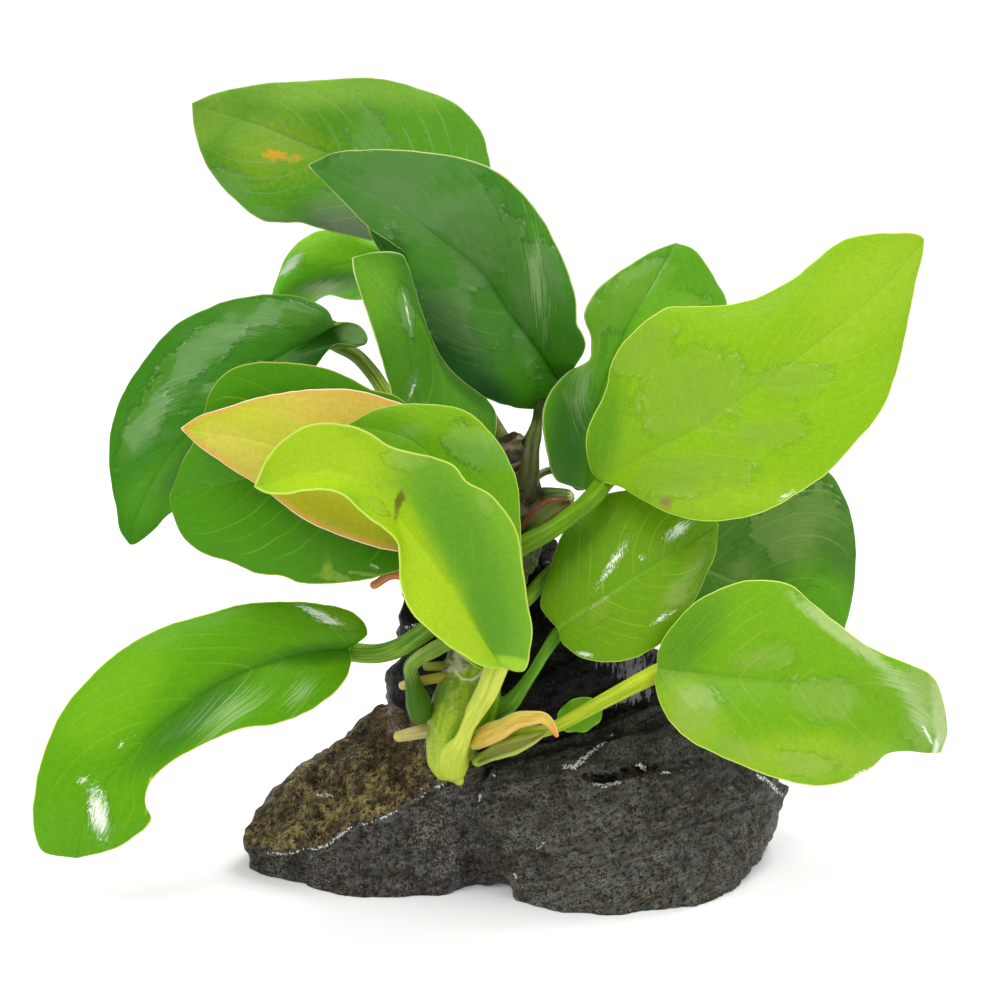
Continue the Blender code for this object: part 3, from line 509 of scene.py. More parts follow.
# %% [markdown]
# ## Thickness, midrib and side veins
#
# A leaf of this plant is leathery. It is built 0.6 mm thick, a guess, with a rounded edge. On its face
# the midrib lies in a narrow groove, and underneath it stands out as a cord that thins towards the
# tip. Side veins leave the midrib slantwise and sweep towards the tip, and the skin puffs up a little
# between them. All of that is real shape, because light glancing over a wet leaf shows it.

# %% Leaf mesh
BLADE_THICKNESS = 0.6
GROOVE_DEPTH = 0.22
RIB_HEIGHT = 0.95
QUILTING = 0.045
UNEVENNESS = 0.3
MARGIN_WAVE = 0.35
MARGIN_WAVES = 3.5


def blade_piece(name, leaf, seed):
    """The finished mesh of one blade, with what its finish needs to know kept on its points."""
    grid = blade_grid(leaf)
    points, u, v, reach = grid["points"], grid["u"], grid["v"], grid["reach"]
    share = np.abs(v)
    side, edge = share * reach, (1 - share) * reach
    vein = SIDE_VEINS * (u - VEIN_SWEEP * share**1.25) + seed % 1
    ends = np.sin(np.pi * u)
    normals = blade_normals(points)
    bend = UNEVENNESS * wander(points, 11.0, seed) + 0.35 * UNEVENNESS * wander(points, 4.5, seed + 5)
    bend += MARGIN_WAVE * share**3 * np.sin(2 * np.pi * MARGIN_WAVES * u + seed + (v > 0) * 1.7)
    points = points + normals * (bend * np.minimum(1, 3 * ends))[..., None]
    normals = blade_normals(points)
    quilt = QUILTING * np.cos(2 * np.pi * vein) * np.minimum(1, 2 * ends)
    quilt *= np.sin(np.pi * np.clip(share, 0, 1)) ** 0.7
    rib_width = 0.65 - 0.4 * u
    depth = GROOVE_DEPTH * leaf.get("groove", 1.0) * np.minimum(1, 6 * u) * (1 - 0.8 * u)
    groove = depth * np.exp(-((side / rib_width) ** 2))
    cord = RIB_HEIGHT * (1 - u) ** 1.2 * np.exp(-((side / (1.1 - 0.6 * u)) ** 2))
    half_thickness = BLADE_THICKNESS / 2 * np.sqrt(np.clip(1 - share**14, 0.03, 1))
    front = points + normals * (half_thickness - quilt - groove)[..., None]
    behind = points - normals * (half_thickness + quilt * 0.8 + cord)[..., None]
    numbers = {"u": u, "side": side, "edge": edge, "vein": vein}
    for label in ("film", "painted_gleam", "painted_streaks", "tone", "shade"):
        numbers[label] = patches(grid["sheet"], leaf.get(label, ()))
    # Painted shade: on a creased leaf the painted shade stays on one side of the midrib.
    if "crease" in leaf:
        numbers["shade"] = numbers["shade"] * np.clip(leaf["crease"] * v * 9 + 0.5, 0, 1)
    for k, mark in enumerate(leaf.get("marks", ())):
        numbers[f"mark{k}"] = patches(grid["sheet"], [mark])
    rows, columns = u.shape
    index = np.arange(rows * columns).reshape(rows, columns)
    index[0], index[-1] = index[0, 0], index[-1, 0]
    index = np.stack([index, index + rows * columns])
    faces = []
    for skin in index:
        corners = np.stack([skin[:-1, :-1], skin[:-1, 1:], skin[1:, 1:], skin[1:, :-1]], axis=-1)
        faces += corners.reshape(-1, 4).tolist()
    for c in (0, columns - 1):
        rim = np.stack([index[0, :-1, c], index[1, :-1, c], index[1, 1:, c], index[0, 1:, c]], axis=-1)
        faces += rim.tolist()
    faces = [list(dict.fromkeys(face)) for face in faces]
    used = np.unique(np.concatenate([np.asarray(face) for face in faces]))
    renumber = np.zeros(2 * rows * columns, int)
    renumber[used] = np.arange(len(used))
    faces = [renumber[face].tolist() for face in faces]
    both = np.concatenate([front.reshape(-1, 3), behind.reshape(-1, 3)])[used]
    kept = {label: np.tile(values.reshape(-1), 2)[used] for label, values in numbers.items()}
    kept["front"] = np.repeat([1.0, 0.0], rows * columns)[used]
    kept["weave"] = np.column_stack([kept["vein"], kept["side"], kept["u"] * grid["length"]])
    piece = build("blade_" + name, both, faces, kept, ["leaf_" + name])
    return piece, grid["sheet"], points, normals


# %% [markdown]
# ## The finish of a leaf
#
# Living leaf tissue is green with a soft, slightly uneven tone. Pale side veins cross it, the midrib
# is a pale or a dark line, and a thin yellowish rim runs round the edge. Shade is painted on: drawn
# ovals turn parts of a leaf into its dark colour, and a dark midrib line is painted shade in its
# valley. The plant has just come out of the water, so parts of each leaf wear a film of water with a
# sharp, brushed outline. The film has a real coat that shines, and its sheen is painted too: a pale
# grey veil, pale streaks and a pale line along its edge. Small white highlights are painted where
# the film would catch the lamp.

# %% Leaf finish
RIM_WIDTH = 0.3
SHORE = 0.4
PLAIN_LOOK = dict(
    dark=paint(40, 90, 30), specular=0.12, coat=0.06, veins=0.3, vein_width=0.07,
    vein_colour=paint(150, 190, 70), rib=0.5, rib_end=0.4, rib_colour=paint(140, 185, 70), rim=0.7,
    rim_colour=paint(206, 214, 100), painted_film_sheen=0.3, painted_film_sheen_colour=paint(136, 160, 118), outline=0.4, painted_streaks=0.5,
    marks=(), spots=(),
)


def leaf_finish(name, look):
    """The material of one leaf, from its colours and strengths, or plain ones where it has none."""
    look = {**PLAIN_LOOK, **look}
    f = Finish("leaf_" + name, roughness=0.45, specular=look["specular"], coat_roughness=0.1)
    weave = f.read("weave", vector=True)
    slow = f.cloud(60.0, 3.0)
    quick = f.cloud(900.0, 3.0)
    cells = f.cloud(2600.0, 2.0)
    fibres = f.cloud(1.0, 3.0, f.stretch((16.0, 0.35, 0.0), weave), roughness=0.6)
    share = f.fray(f.read("tone"), slow, 0.8)
    colour = f.tint(look["main"], look["second"], share, 0.1, 0.75)
    # Painted shade: the shade ovals turn the green into the leaf's dark colour.
    colour = f.tint(colour, look["dark"], f.read("shade"), 0.05, 0.8)
    for k, (tint, strength, *raggedness) in enumerate(look["marks"]):
        uneven = f.fray(f.read(f"mark{k}"), quick, raggedness[0] if raggedness else 0.8)
        colour = f.tint(colour, tint, uneven, 0.1, 0.6, 0.0, strength)
    if "halo" in look:
        tint, width, strength = look["halo"]
        uneven = f.add(f.read("edge"), f.times(slow, width))
        colour = f.tint(colour, tint, uneven, width * 0.3, width * 1.9, strength, 0.0)
    grain = f.add(f.times(quick, 0.24), f.times(cells, 0.34))
    grain = f.add(f.add(grain, f.times(fibres, 0.2)), 0.61)
    colour = f.shaded(colour, grain)
    line = f.step(f.maths("PINGPONG", f.read("vein"), 0.5), 0.012, look["vein_width"], 1.0, 0.0)
    faint = f.step(f.cloud(0.9, 2.0, f.stretch((0.6, 0.11, 0.0), weave)), 0.35, 0.65)
    line = f.times(f.times(line, faint), look["veins"])
    line = f.times(line, f.step(f.read("edge"), 0.8, 5.0))
    colour = f.mix(line, colour, look["vein_colour"])
    # The midrib line: a pale rib colour is the midrib's own, and a dark one is painted shade in its valley.
    rib_reach = f.maths("SUBTRACT", 0.8, f.times(f.read("u"), 0.62))
    rib = f.step(f.maths("DIVIDE", f.read("side"), rib_reach), 0.2, 1.0, look["rib"], 0.0)
    rib = f.times(rib, f.step(f.read("u"), 0.2, 0.8, 1.0, look["rib_end"]))
    colour = f.mix(rib, colour, look["rib_colour"])
    streak = f.cloud(1.0, 4.0, f.stretch((4.2, 0.1, 0.0), weave), roughness=0.7)
    blot = f.cloud(150.0, 5.0, roughness=0.6, distortion=0.8)
    ragged = f.fray(f.swing(streak, 0.5), blot, 0.75)
    wetness = f.add(f.read("film"), ragged)
    soft = f.step(f.cloud(75.0, 2.0), 0.44, 0.58)
    film = f.step(wetness, 0.48, f.add(f.times(soft, 0.5), 0.53))
    thick = f.times(film, f.step(wetness, 0.45, 0.95, 0.5, 1.0))
    brushed = f.times(thick, f.step(fibres, 0.35, 0.65, 0.7, 1.15))
    # Painted sheen: where the water film lies, the green turns paler towards a grey sheen colour.
    painted_film_sheen = f.times(brushed, look["painted_film_sheen"])
    colour = f.mix(painted_film_sheen, colour, look["painted_film_sheen_colour"])
    shore = f.times(f.step(wetness, 0.4, 0.48), f.step(wetness, 0.49, 0.52, 1.0, 0.0))
    crisp = f.maths("SUBTRACT", 1.0, soft)
    shore = f.times(shore, f.times(crisp, SHORE))
    colour = f.mix(shore, colour, look["dark"])
    # Painted highlight: a pale line along the edge of the water film.
    painted_edge_highlight = f.times(f.times(film, crisp), f.step(wetness, 0.5, 0.56, 1.0, 0.0))
    painted_edge_highlight = f.times(painted_edge_highlight, f.step(quick, 0.5, 0.62, 0.0, look["outline"]))
    colour = f.mix(painted_edge_highlight, colour, paint(196, 214, 160))
    # Painted sheen: pale streaks of shining water along the side veins.
    hairs = f.cloud(1.0, 4.0, f.stretch((9.0, 0.2, 0.0), weave), roughness=0.7)
    painted_streak_sheen = f.fray(f.times(f.read("painted_streaks"), 0.7), hairs, 1.9)
    painted_streak_sheen = f.times(f.step(painted_streak_sheen, 0.42, 0.66, 0.0, look["painted_streaks"]), f.read("front"))
    colour = f.mix(painted_streak_sheen, colour, paint(190, 212, 156))
    # Painted highlights: small white spots where the film would catch the lamp.
    drops = f.cloud(1.0, 3.0, f.stretch((14.0, 1.5, 0.0), weave), roughness=0.75)
    painted_gleam = f.fray(f.read("painted_gleam"), drops, 2.2)
    painted_gleam = f.step(painted_gleam, 0.6, 0.68)
    colour = f.mix(f.times(painted_gleam, 0.85), colour, paint(240, 247, 232))
    rim = f.step(f.read("edge"), RIM_WIDTH * 0.45, RIM_WIDTH, look["rim"], 0.0)
    colour = f.mix(rim, colour, look["rim_colour"])
    for where, radius, tint in look["spots"]:
        away = f.tree.nodes.new("ShaderNodeVectorMath")
        away.operation = "DISTANCE"
        f.feed(away.inputs[0], f.place)
        away.inputs[1].default_value = where
        wobble = f.swing(f.cloud(700.0, 3.0), radius * 1.6)
        spot = f.step(f.add(away.outputs["Value"], wobble), radius * 0.3, radius * 1.2, 0.85, 0.0)
        colour = f.mix(spot, colour, tint)
    under = f.tint(look["main"], paint(124, 148, 88), slow, 0.3, 0.7, 0.25, 0.45)
    under = f.shaded(under, grain)
    raised = f.maths("MAXIMUM", f.times(line, 0.7), f.step(f.read("side"), 0.3, 1.1, 0.5, 0.0))
    under = f.mix(raised, under, paint(156, 184, 96))
    under = f.mix(rim, under, look["rim_colour"])
    colour = f.mix(f.read("front"), under, colour)
    f.set("Base Color", colour)
    wet = f.maths("ADD", f.times(film, 0.22), look["coat"], clamp=True)
    f.set("Coat Weight", f.times(wet, f.step(f.read("front"), 0.0, 1.0, 0.4, 1.0)))
    f.set("Roughness", f.step(film, 0.0, 1.0, 0.48, 0.36))
    height = f.add(f.times(cells, 0.4), f.times(fibres, 0.6))
    normal = f.relief(height, 0.00008)
    normal = f.relief(thick, 0.00008, normal)
    f.set("Normal", normal)
    return f.material


# %% [markdown]
# ## Stalks
#
# A stalk is a tube along a smooth line, with domed ends. It isn't quite round: fine ribs run along
# it. At its upper end it doesn't stop at the leaf but runs on under the blade as the midrib's cord,
# which is why the line here goes on behind the first part of the midrib and thins out there.

# %% Tubes
DOME_STEPS = 4
DOME_ANGLE = math.radians(84)


def tube(centres, radii, sides, profile, facing=False):
    """Points, faces and numbers of a closed tube. The profile says how far each point stands out.

    On a facing tube the turns start at the side that looks at the viewer.
    """
    centres, radii = np.asarray(centres, float), np.asarray(radii, float)
    first, last = unit(centres[1] - centres[0]), unit(centres[-1] - centres[-2])
    angles = np.linspace(0, DOME_ANGLE, DOME_STEPS + 1)[1:]
    low = [centres[0] - first * radii[0] * math.sin(a) for a in angles[::-1]]
    high = [centres[-1] + last * radii[-1] * math.sin(a) for a in angles]
    centres = np.vstack([low, centres, high])
    radii = np.concatenate([radii[0] * np.cos(angles[::-1]), radii, radii[-1] * np.cos(angles)])
    along = unit(np.gradient(centres, axis=0))
    run = np.concatenate([[0], np.cumsum(np.linalg.norm(np.diff(centres, axis=0), axis=1))])
    share = run / run[-1]
    turns = 2 * np.pi * np.arange(sides) / sides
    out = profile(turns[None, :], run[:, None], share[:, None])
    reach = radii[:, None] * out
    front = np.array([0, -COSINE, SINE])
    side = unit(np.cross(along[0], [0.3, 1, 0.2]))
    rings = []
    for centre, direction, ring_reach in zip(centres, along, reach):
        side = front if facing else side
        side = unit(side - direction * np.dot(side, direction))
        up = np.cross(direction, side)
        circle = np.cos(turns)[:, None] * side + np.sin(turns)[:, None] * up
        rings.append(centre + ring_reach[:, None] * circle)
    points = np.vstack([*rings, centres[:1], centres[-1:]])
    index = np.arange(len(centres) * sides).reshape(-1, sides)
    turned = np.roll(index, -1, axis=1)
    faces = np.stack([index[:-1], turned[:-1], turned[1:], index[1:]], axis=-1).reshape(-1, 4).tolist()
    for ring, pole in ((0, len(points) - 2), (-1, len(points) - 1)):
        faces += [[a, b, pole] for a, b in zip(index[ring].tolist(), turned[ring].tolist())]
    runs = np.repeat(run[:, None], sides, axis=1)
    around = np.stack([reach * np.cos(turns), reach * np.sin(turns), runs], axis=-1)
    ends = [[0, 0, run[0]], [0, 0, run[-1]]]
    sunk = np.clip(1 - out, 0, 1)
    lift = np.repeat(np.sin(turns)[None], len(run), axis=0)
    numbers = {
        "around": np.vstack([around.reshape(-1, 3), ends]),
        "lift": np.concatenate([lift.reshape(-1), [0, 0]]),
        "share": np.concatenate([np.repeat(share, sides), [0, 1]]),
        "sunk": np.concatenate([sunk.reshape(-1), [0, 0]]),
    }
    return points, faces, numbers


def ribbed(turns, run, share):
    """The fine lengthwise ribs of a stalk."""
    return 1 + 0.035 * np.cos(5 * turns + 0.02 * run) + 0.022 * np.cos(9 * turns - 0.05 * run)


# %% [markdown]
# ## The finish of a stalk
#
# Bundles of fibres run along a stalk, yellow-green over green. Noise that is stretched along the
# stalk draws them, and a wider noise lets them come and go. The foot is paler or darker, where the
# stalk clasps the rhizome. A hollow or torn piece may have its own tint inside.

# %% Stalk finish
def stalk_finish(name, light, dark, foot, tip=None, inside=None, rims=None, tip_at=(0.55, 0.92), wet=0.12):
    """The material of a stalk, a sheath or a root: two colours of fibres, and tints for its parts."""
    f = Finish(name, roughness=0.42, specular=0.1)
    around = f.read("around", vector=True)
    fibres = f.cloud(1.0, 3.0, f.stretch((1.5, 1.5, 0.05), around), roughness=0.55)
    fine = f.cloud(1.0, 3.0, f.stretch((3.0, 3.0, 0.07), around), roughness=0.6)
    mottle = f.cloud(420.0, 3.0)
    drift = f.cloud(160.0, 3.0)
    mixed = f.add(f.times(fibres, 0.7), f.times(drift, 0.3))
    colour = f.tint(light, dark, mixed, 0.34, 0.66)
    colour = f.tint(colour, foot, f.read("share"), 0.0, 0.3, 0.85, 0.0)
    shade = f.add(f.times(fine, 0.7), f.times(mottle, 0.22))
    colour = f.shaded(colour, f.add(shade, 0.54))
    if tip is not None:
        place = f.fray(f.read("share"), fine, 0.3)
        colour = f.tint(colour, tip, place, *tip_at)
    if rims is not None:
        for sign, tint in zip((-1, 1), rims):
            at_rim = f.add(f.times(f.read("lift"), sign), f.times(fine, 0.3))
            colour = f.tint(colour, tint, at_rim, 0.75, 1.05, 0.0, 0.8)
    if inside is not None:
        colour = f.tint(colour, inside, f.read("sunk"), 0.12, 0.4)
    f.set("Base Color", colour)
    f.set("Coat Weight", f.step(mottle, 0.35, 0.6, wet * 0.4, wet))
    f.set("Normal", f.relief(f.add(fine, fibres), 0.00012))
    return f.material


STALK_GREENS = {
    "pale": (paint(216, 222, 96), paint(180, 200, 66), paint(178, 196, 56)),
    "lime": (paint(184, 196, 44), paint(140, 166, 28), paint(168, 182, 54)),
    "green": (paint(116, 160, 18), paint(72, 124, 10), paint(126, 150, 36)),
    "deep": (paint(120, 172, 42), paint(80, 138, 30), paint(52, 88, 26)),
    "olive": (paint(108, 122, 40), paint(70, 92, 26), paint(96, 92, 44)),
    "brown": (paint(94, 110, 50), paint(50, 58, 26), paint(62, 56, 32)),
    "edged": (paint(164, 186, 62), paint(74, 100, 38), paint(120, 140, 50)),
    "striped": (paint(150, 190, 60), paint(74, 132, 22), paint(100, 146, 34)),
}


# %% [markdown]
# ## Growing a leaf on its stalk
#
# Each leaf below is one call: the blade from its drawing, its finish from its look, and its stalk
# from the rhizome to the blade.

# %% Grow a leaf
FOOT_SWELL = 0.2
STALK_RINGS = 64
STALK_SIDES = 20
FOOT_LENGTH = 0.08
CORD_THINNING = 0.8
CORD_START = (4, 1.2)
CORD = ((8, 1.3), (16, 1.0), (28, 0.62), (42, 0.3))
STALKS = {
    "back_top": dict(
        path=[(5.2, 80, -1), (6.6, 86.6, 14), (7.6, 91.8, 22), (7.6, 100, 28), (2, 117, 35),
              (-5.6, 132, 36)],
        radii=(1.6, 1.0, 0.95, 1.3, 1.4, 1.5), look="olive"),
    "top": dict(
        path=[(4.8, 75, -6), (5.6, 80, -6.4), (6, 84.6, -4), (6.9, 87.4, -1), (7.5, 90.3, 4), (8, 93, 9),
              (11.4, 97, 16.6)],
        radii=(2.3, 2.0, 1.7, 1.1, 0.95, 1.0, 1.1), look="brown"),
    "back_small": dict(
        path=[(3, 81, -1), (-3, 88, 12), (-9, 98, 26), (-12, 109, 36), (-14.6, 116.6, 41)],
        radii=(1.5, 1.3, 1.1), look="green"),
    "left_high": dict(
        path=[(3, 78, -3), (-7, 85.6, 8), (-16.4, 90.2, 16), (-22.4, 95, 20.6), (-25.4, 99.2, 21.8),
              (-28.8, 102.9, 22.4), (-32.8, 105, 21.8), (-36.4, 106.2, 20)],
        radii=(1.8, 1.6, 1.5, 1.45, 1.3), look="edged"),
    "hidden": dict(
        path=[(2.4, 83.4, -1), (-2, 91, 15), (-8, 100, 21), (-13.6, 107.4, 21)],
        radii=(1.3, 1.0), look="olive"),
    "upright": dict(
        path=[(2, 69, -5), (-4, 76, -6), (-8.6, 81, -6.4)],
        radii=(1.8, 1.4), look="olive"),
    "left_broad": dict(
        path=[(-2, 58, -9), (-8, 69, -9.6), (-13.8, 77.8, -9)],
        radii=(1.7, 1.4), look="green"),
    "yellow": dict(
        path=[(-3, 55, -11), (-6, 66, -16), (-8.6, 75.2, -17)],
        radii=(1.4, 1.1), look="green"),
    "front_inner": dict(
        path=[(-6, 26, -18), (-2.6, 31.4, -21), (-1.4, 36, -22.6), (-2, 40, -23.4)],
        radii=(2.0, 1.9, 1.5, 1.4), look="green"),
    "front_twisted": dict(
        path=[(-9.4, 20.9, -19.4), (-9.2, 23, -21.4), (-7.5, 25.9, -24.2), (-6.4, 28.6, -25.6),
              (-4.7, 32, -27), (-2.7, 35.4, -28.4), (-1.4, 38.6, -29.6), (0, 40.6, -30.6)],
        radii=(3.0, 2.6, 1.6, 1.4, 1.85, 2.1, 2.2, 2.4), look="pale", swell=0.0),
    "right_high": dict(
        path=[(4.4, 76.6, -3), (7.6, 78.9, 1), (10.2, 79.9, 5), (13, 79.2, 8.6), (16.6, 76.6, 11.4)],
        radii=(1.3, 0.8, 0.75, 0.9, 1.0), look="olive"),
    "right_large": dict(
        path=[(-1, 61.4, -11), (5.1, 65.2, -13), (9.4, 67.5, -12.8), (13, 70, -11.4), (16.3, 72.4, -9.4),
              (19.1, 75.2, -7), (20.4, 76.8, -5.6)],
        radii=(2.3, 1.85, 1.8, 1.75, 1.8, 1.9, 1.9), look="green"),
    "right_middle": dict(
        path=[(-3, 31.6, -15.4), (1.3, 33, -17.2), (3.4, 35, -17.4), (6.9, 40, -16), (8.5, 42.7, -15),
              (11.3, 47.4, -13.4)],
        radii=(2.2, 1.9, 1.3, 1.05, 1.1, 1.3), look="deep"),
    "right_back": dict(
        path=[(-1, 50, -12), (5, 54, -10.4), (10.4, 59.6, -4), (19, 65, 8), (29.6, 64.2, 18.6)],
        radii=(1.5, 1.2), look="green"),
    "right_low": dict(
        path=[(-5, 26, -17), (1, 27, -21), (6, 27.4, -22.8), (11.2, 28.7, -22.8), (21.5, 34.2, -20.8),
              (31, 39.4, -17.4)],
        radii=(1.6, 1.3, 1.2, 1.35, 1.6, 1.8), look="lime"),
    "small": dict(
        path=[(-2, 28.4, -16.4), (4, 28, -17.4), (11.2, 28.2, -15.2)],
        radii=(1.1, 0.8), look="green"),
    "left_low": dict(
        path=[(-8, 53, -11), (-15.2, 47.6, -8), (-19.8, 44.6, -4.5), (-24.8, 43.2, -1.5),
              (-29.8, 43.6, -1)],
        radii=(1.9, 1.9, 1.9, 1.9, 1.9), look="striped"),
}


def grow_leaf(name, leaf, look, seed):
    """Make one blade and its stalk."""
    blade, sheet, points, normals = blade_piece(name, leaf, float(seed))
    spots = []
    for x, up, radius, tint in look.get("spots", ()):
        nearest = np.argmin(np.hypot(sheet[..., 0] - x, sheet[..., 1] - up))
        spots.append((Vector(points.reshape(-1, 3)[nearest]) * MM, radius * MM, tint))
    blade.data.materials.append(leaf_finish(name, {**look, "spots": spots}))
    stalk = STALKS[name]
    middle = points.shape[1] // 2
    last = stalk["radii"][-1]
    line = [seen(*point) for point in stalk["path"]]
    first_row, first_sink = CORD_START
    line[-1] = line[-1] - normals[first_row, middle] * first_sink * last
    line += [points[row, middle] - normals[row, middle] * sink * last for row, sink in CORD]
    fractions = np.linspace(0, 1, STALK_RINGS)
    centres = smooth_line(line, fractions)
    joint = length(line[: len(stalk["path"])]) / length(line)
    spread = np.linspace(0, joint, len(stalk["radii"]))
    radii = smooth_line(np.column_stack([spread * 100, stalk["radii"]]), fractions / joint)[:, 1]
    thinning = np.maximum(fractions - joint, 0) / max(1 - joint, 0.001)
    radii = np.where(fractions < joint, radii, last * (1 - CORD_THINNING * thinning))
    radii *= 1 + stalk.get("swell", FOOT_SWELL) * np.exp(-fractions / FOOT_LENGTH)
    stem_points, faces, numbers = tube(centres, radii, STALK_SIDES, ribbed)
    stem = build("stem_" + name, stem_points, faces, numbers, ["stalk_" + name])
    stem.data.materials.append(stalk_finish("stem_" + name, *STALK_GREENS[stalk["look"]]))
    print(name, len(blade.data.polygons), "faces in the blade,", len(stem.data.polygons), "in its stalk")


# %% [markdown]
# ### The back leaf at the top
#
# This leaf leans back behind the others. Its green is bright, an old wound has left an orange spot,
# and its lower right part is painted darker as shade, under a greyish film of painted sheen.

# %% The back leaf at the top
leaf = dict(
    rib=[(-6.4, 133, 34), (-14, 136.4, 36), (-24, 140, 37), (-34.8, 143.4, 37), (-47.2, 148.6, 34),
         (-55, 151.2, 31), (-61.6, 153.4, 27)],
    left=[(-10, 125.6), (-16, 124.6), (-25, 125.6), (-34, 127.6), (-40, 129.2), (-47.6, 129.8),
          (-53.2, 134), (-57.4, 138.6), (-60, 143.6), (-61.4, 149)],
    right=[(-3, 134), (-1.4, 137), (-1.6, 141), (-4, 148), (-9, 153.4), (-16, 156.6), (-26, 158.4),
           (-40, 158), (-50, 157), (-57, 155.4)],
    tilt=((20, 22, 10), (-20, -25, -10)), crown=(1.0, 1.2),
    film=[(-32, 131, 10, 4, -25), (-54, 136, 8, 4, -20), (-26, 146, 8, 4, -60), (-46, 130.5, 8, 3, -12)],
    tone=[(-60, 150, 8, 5, 30), (-34, 156, 18, 3.5, 0), (-48, 146, 8, 5, 0)],
    shade=[(-30, 127.5, 8, 4, -20)],
    marks=[(-44, 143, 8, 4.5, 10), (-44.8, 142.9, 2.2, 0.7, -8), (-41, 142.4, 1.2, 0.6, 0)],
)
look = dict(
    main=paint(84, 146, 27), second=paint(119, 165, 50), dark=paint(88, 107, 80), veins=0.42, painted_film_sheen=0.22,
    vein_colour=paint(144, 172, 121), rib_colour=paint(108, 141, 91), rim_colour=paint(150, 175, 70),
    marks=[(paint(134, 164, 30), 0.4), (paint(222, 164, 40), 0.8), (paint(196, 160, 44), 0.6)],
)
grow_leaf("back_top", leaf, look, seed=101)

# %% [markdown]
# ### The big leaf at the top
#
# The largest dark leaf hangs with its face to the viewer. Nearly all of it wears a film of water,
# painted as a greyish sheen, and painted pale streaks of sheen follow its side veins. Shade is
# painted on its lower left side. A pale rim sets it off from the leaf behind.

# %% The big leaf at the top
leaf = dict(
    rib=[(11.6, 97.8, 14), (9, 102, 11), (5.6, 106.8, 7), (1.6, 111.8, 3), (-3.8, 119.6, 0),
         (-12.8, 127, -1), (-20, 132.4, 2), (-30, 137.6, 7), (-38.4, 141, 12)],
    left=[(11, 94), (8, 92.2), (4, 92), (-1, 93.4), (-5, 95.6), (-11, 101), (-15, 109), (-17, 117),
          (-18.8, 122.8), (-21, 124.5), (-26, 128), (-31, 133.4), (-35, 137.4)],
    right=[(14.6, 100), (16.6, 102.6), (17.4, 105), (16.6, 107.6), (15.5, 110), (15.2, 115), (13, 121.8),
           (8.6, 130.4), (3.6, 136.8), (-1.8, 140.6), (-10, 143), (-20, 144.2), (-28, 144.2), (-33, 143.6)],
    tilt=((5, -5, 5), (15, 20, 5)), crown=(0.8, 1.2),
    film=[(-22, 137, 17, 9, 8), (-8, 128, 15, 10, -45), (5, 114, 15, 4.6, -80), (-9, 110, 10, 6, -50),
          (10.5, 119, 8, 2.4, -70)],
    shade=[(-11, 106, 11, 4.5, -58), (-4, 97, 6, 3, -35)], tone=[(12, 125, 9, 4, -60), (10, 99, 7, 5, 0)],
    painted_streaks=[(7.6, 118, 13, 2.4, -82)],
)
look = dict(
    main=paint(65, 127, 32), second=paint(69, 140, 20), dark=paint(37, 85, 32), painted_film_sheen=0.46, painted_streaks=0.3,
    painted_film_sheen_colour=paint(103, 133, 81), vein_colour=paint(111, 152, 74), rib=0.45, rib_end=0.15,
    rib_colour=paint(39, 89, 27), rim_colour=paint(228, 226, 150),
)
grow_leaf("top", leaf, look, seed=102)

# %% [markdown]
# ### The small leaf behind
#
# A small bright leaf that curls over. Its curl turns one face to the lamp, and a white highlight is
# painted there.

# %% The small leaf behind
leaf = dict(
    rib=[(-15, 117, 40), (-23, 121, 41), (-31, 121.6, 41), (-38, 119, 40), (-42, 116.6, 38.6),
         (-45.8, 113.8, 37)],
    left=[(-16, 113), (-22, 113.6), (-29, 114), (-34, 114.6), (-38, 112.8), (-42, 112.4)],
    right=[(-17, 122), (-24, 125.4), (-31, 127.8), (-37.4, 127.8), (-42.6, 122.8), (-45, 117.4)],
    tilt=((-50, -50, -30), (-20, -30, -20)), crown=(1.0, 1.0),
    film=[(-35.6, 116, 7, 2.5, 15), (-41, 121, 3, 2, 45)],
    painted_gleam=[(-41.6, 121, 3.4, 1.0, 48)], shade=[(-34.6, 117.4, 6.5, 1.7, 12)], tone=[(-32, 125, 9, 3, 0)],
    painted_streaks=[(-36, 117, 5, 1.6, 10)],
)
look = dict(
    main=paint(106, 190, 27), second=paint(154, 223, 47), dark=paint(82, 132, 51), painted_film_sheen=0.4,
    painted_film_sheen_colour=paint(165, 210, 101), veins=0.2, rib=0.4, rib_colour=paint(99, 158, 54),
    rim_colour=paint(215, 220, 140),
)
grow_leaf("back_small", leaf, look, seed=103)

# %% [markdown]
# ### The dark leaf at the upper left
#
# This leaf arches away to the left and hangs down. Water covers its upper half, painted as a long
# greyish band of sheen, and the lobe at its base is folded over, so that its olive underside shows.
# Shade is painted near the base and in the middle.

# %% The dark leaf at the upper left
leaf = dict(
    rib=[(-33, 109, 16), (-40, 105, 16), (-50, 99, 15), (-60, 90, 12), (-68, 80, 8), (-72.4, 71, 4),
         (-74, 65, 2)],
    left=[(-31, 109.6), (-28, 109), (-26.2, 106.4), (-27.4, 104.8), (-32.6, 105), (-36, 101.6), (-40, 96),
          (-48, 88), (-56, 78), (-62, 73.5), (-66, 71.2), (-69, 68), (-72.4, 65.4)],
    right=[(-34.6, 112.2), (-38, 114), (-43, 115.2), (-51, 115), (-59, 112.4), (-67.4, 106.6), (-75, 96.6),
           (-78, 86), (-78.2, 78), (-76.8, 72), (-76, 68)],
    tilt=((-30, 20, 10), (-20, -35, -15)), crown=(0.8, 1.4),
    film=[(-47, 111.5, 13, 3, -4), (-60, 103, 13, 4, 38), (-71, 89, 10, 3.4, 62), (-54, 97, 11, 2.2, 30)],
    painted_streaks=[(-66, 94, 10, 3, 50), (-50, 108, 9, 2.4, 8)],
    shade=[(-36, 104.5, 6, 3.4, 35), (-58, 84, 10, 3, 45)], marks=[(-29.4, 107, 2.4, 1.7, -25)],
    tone=[(-66, 76, 8, 5, 40)],
)
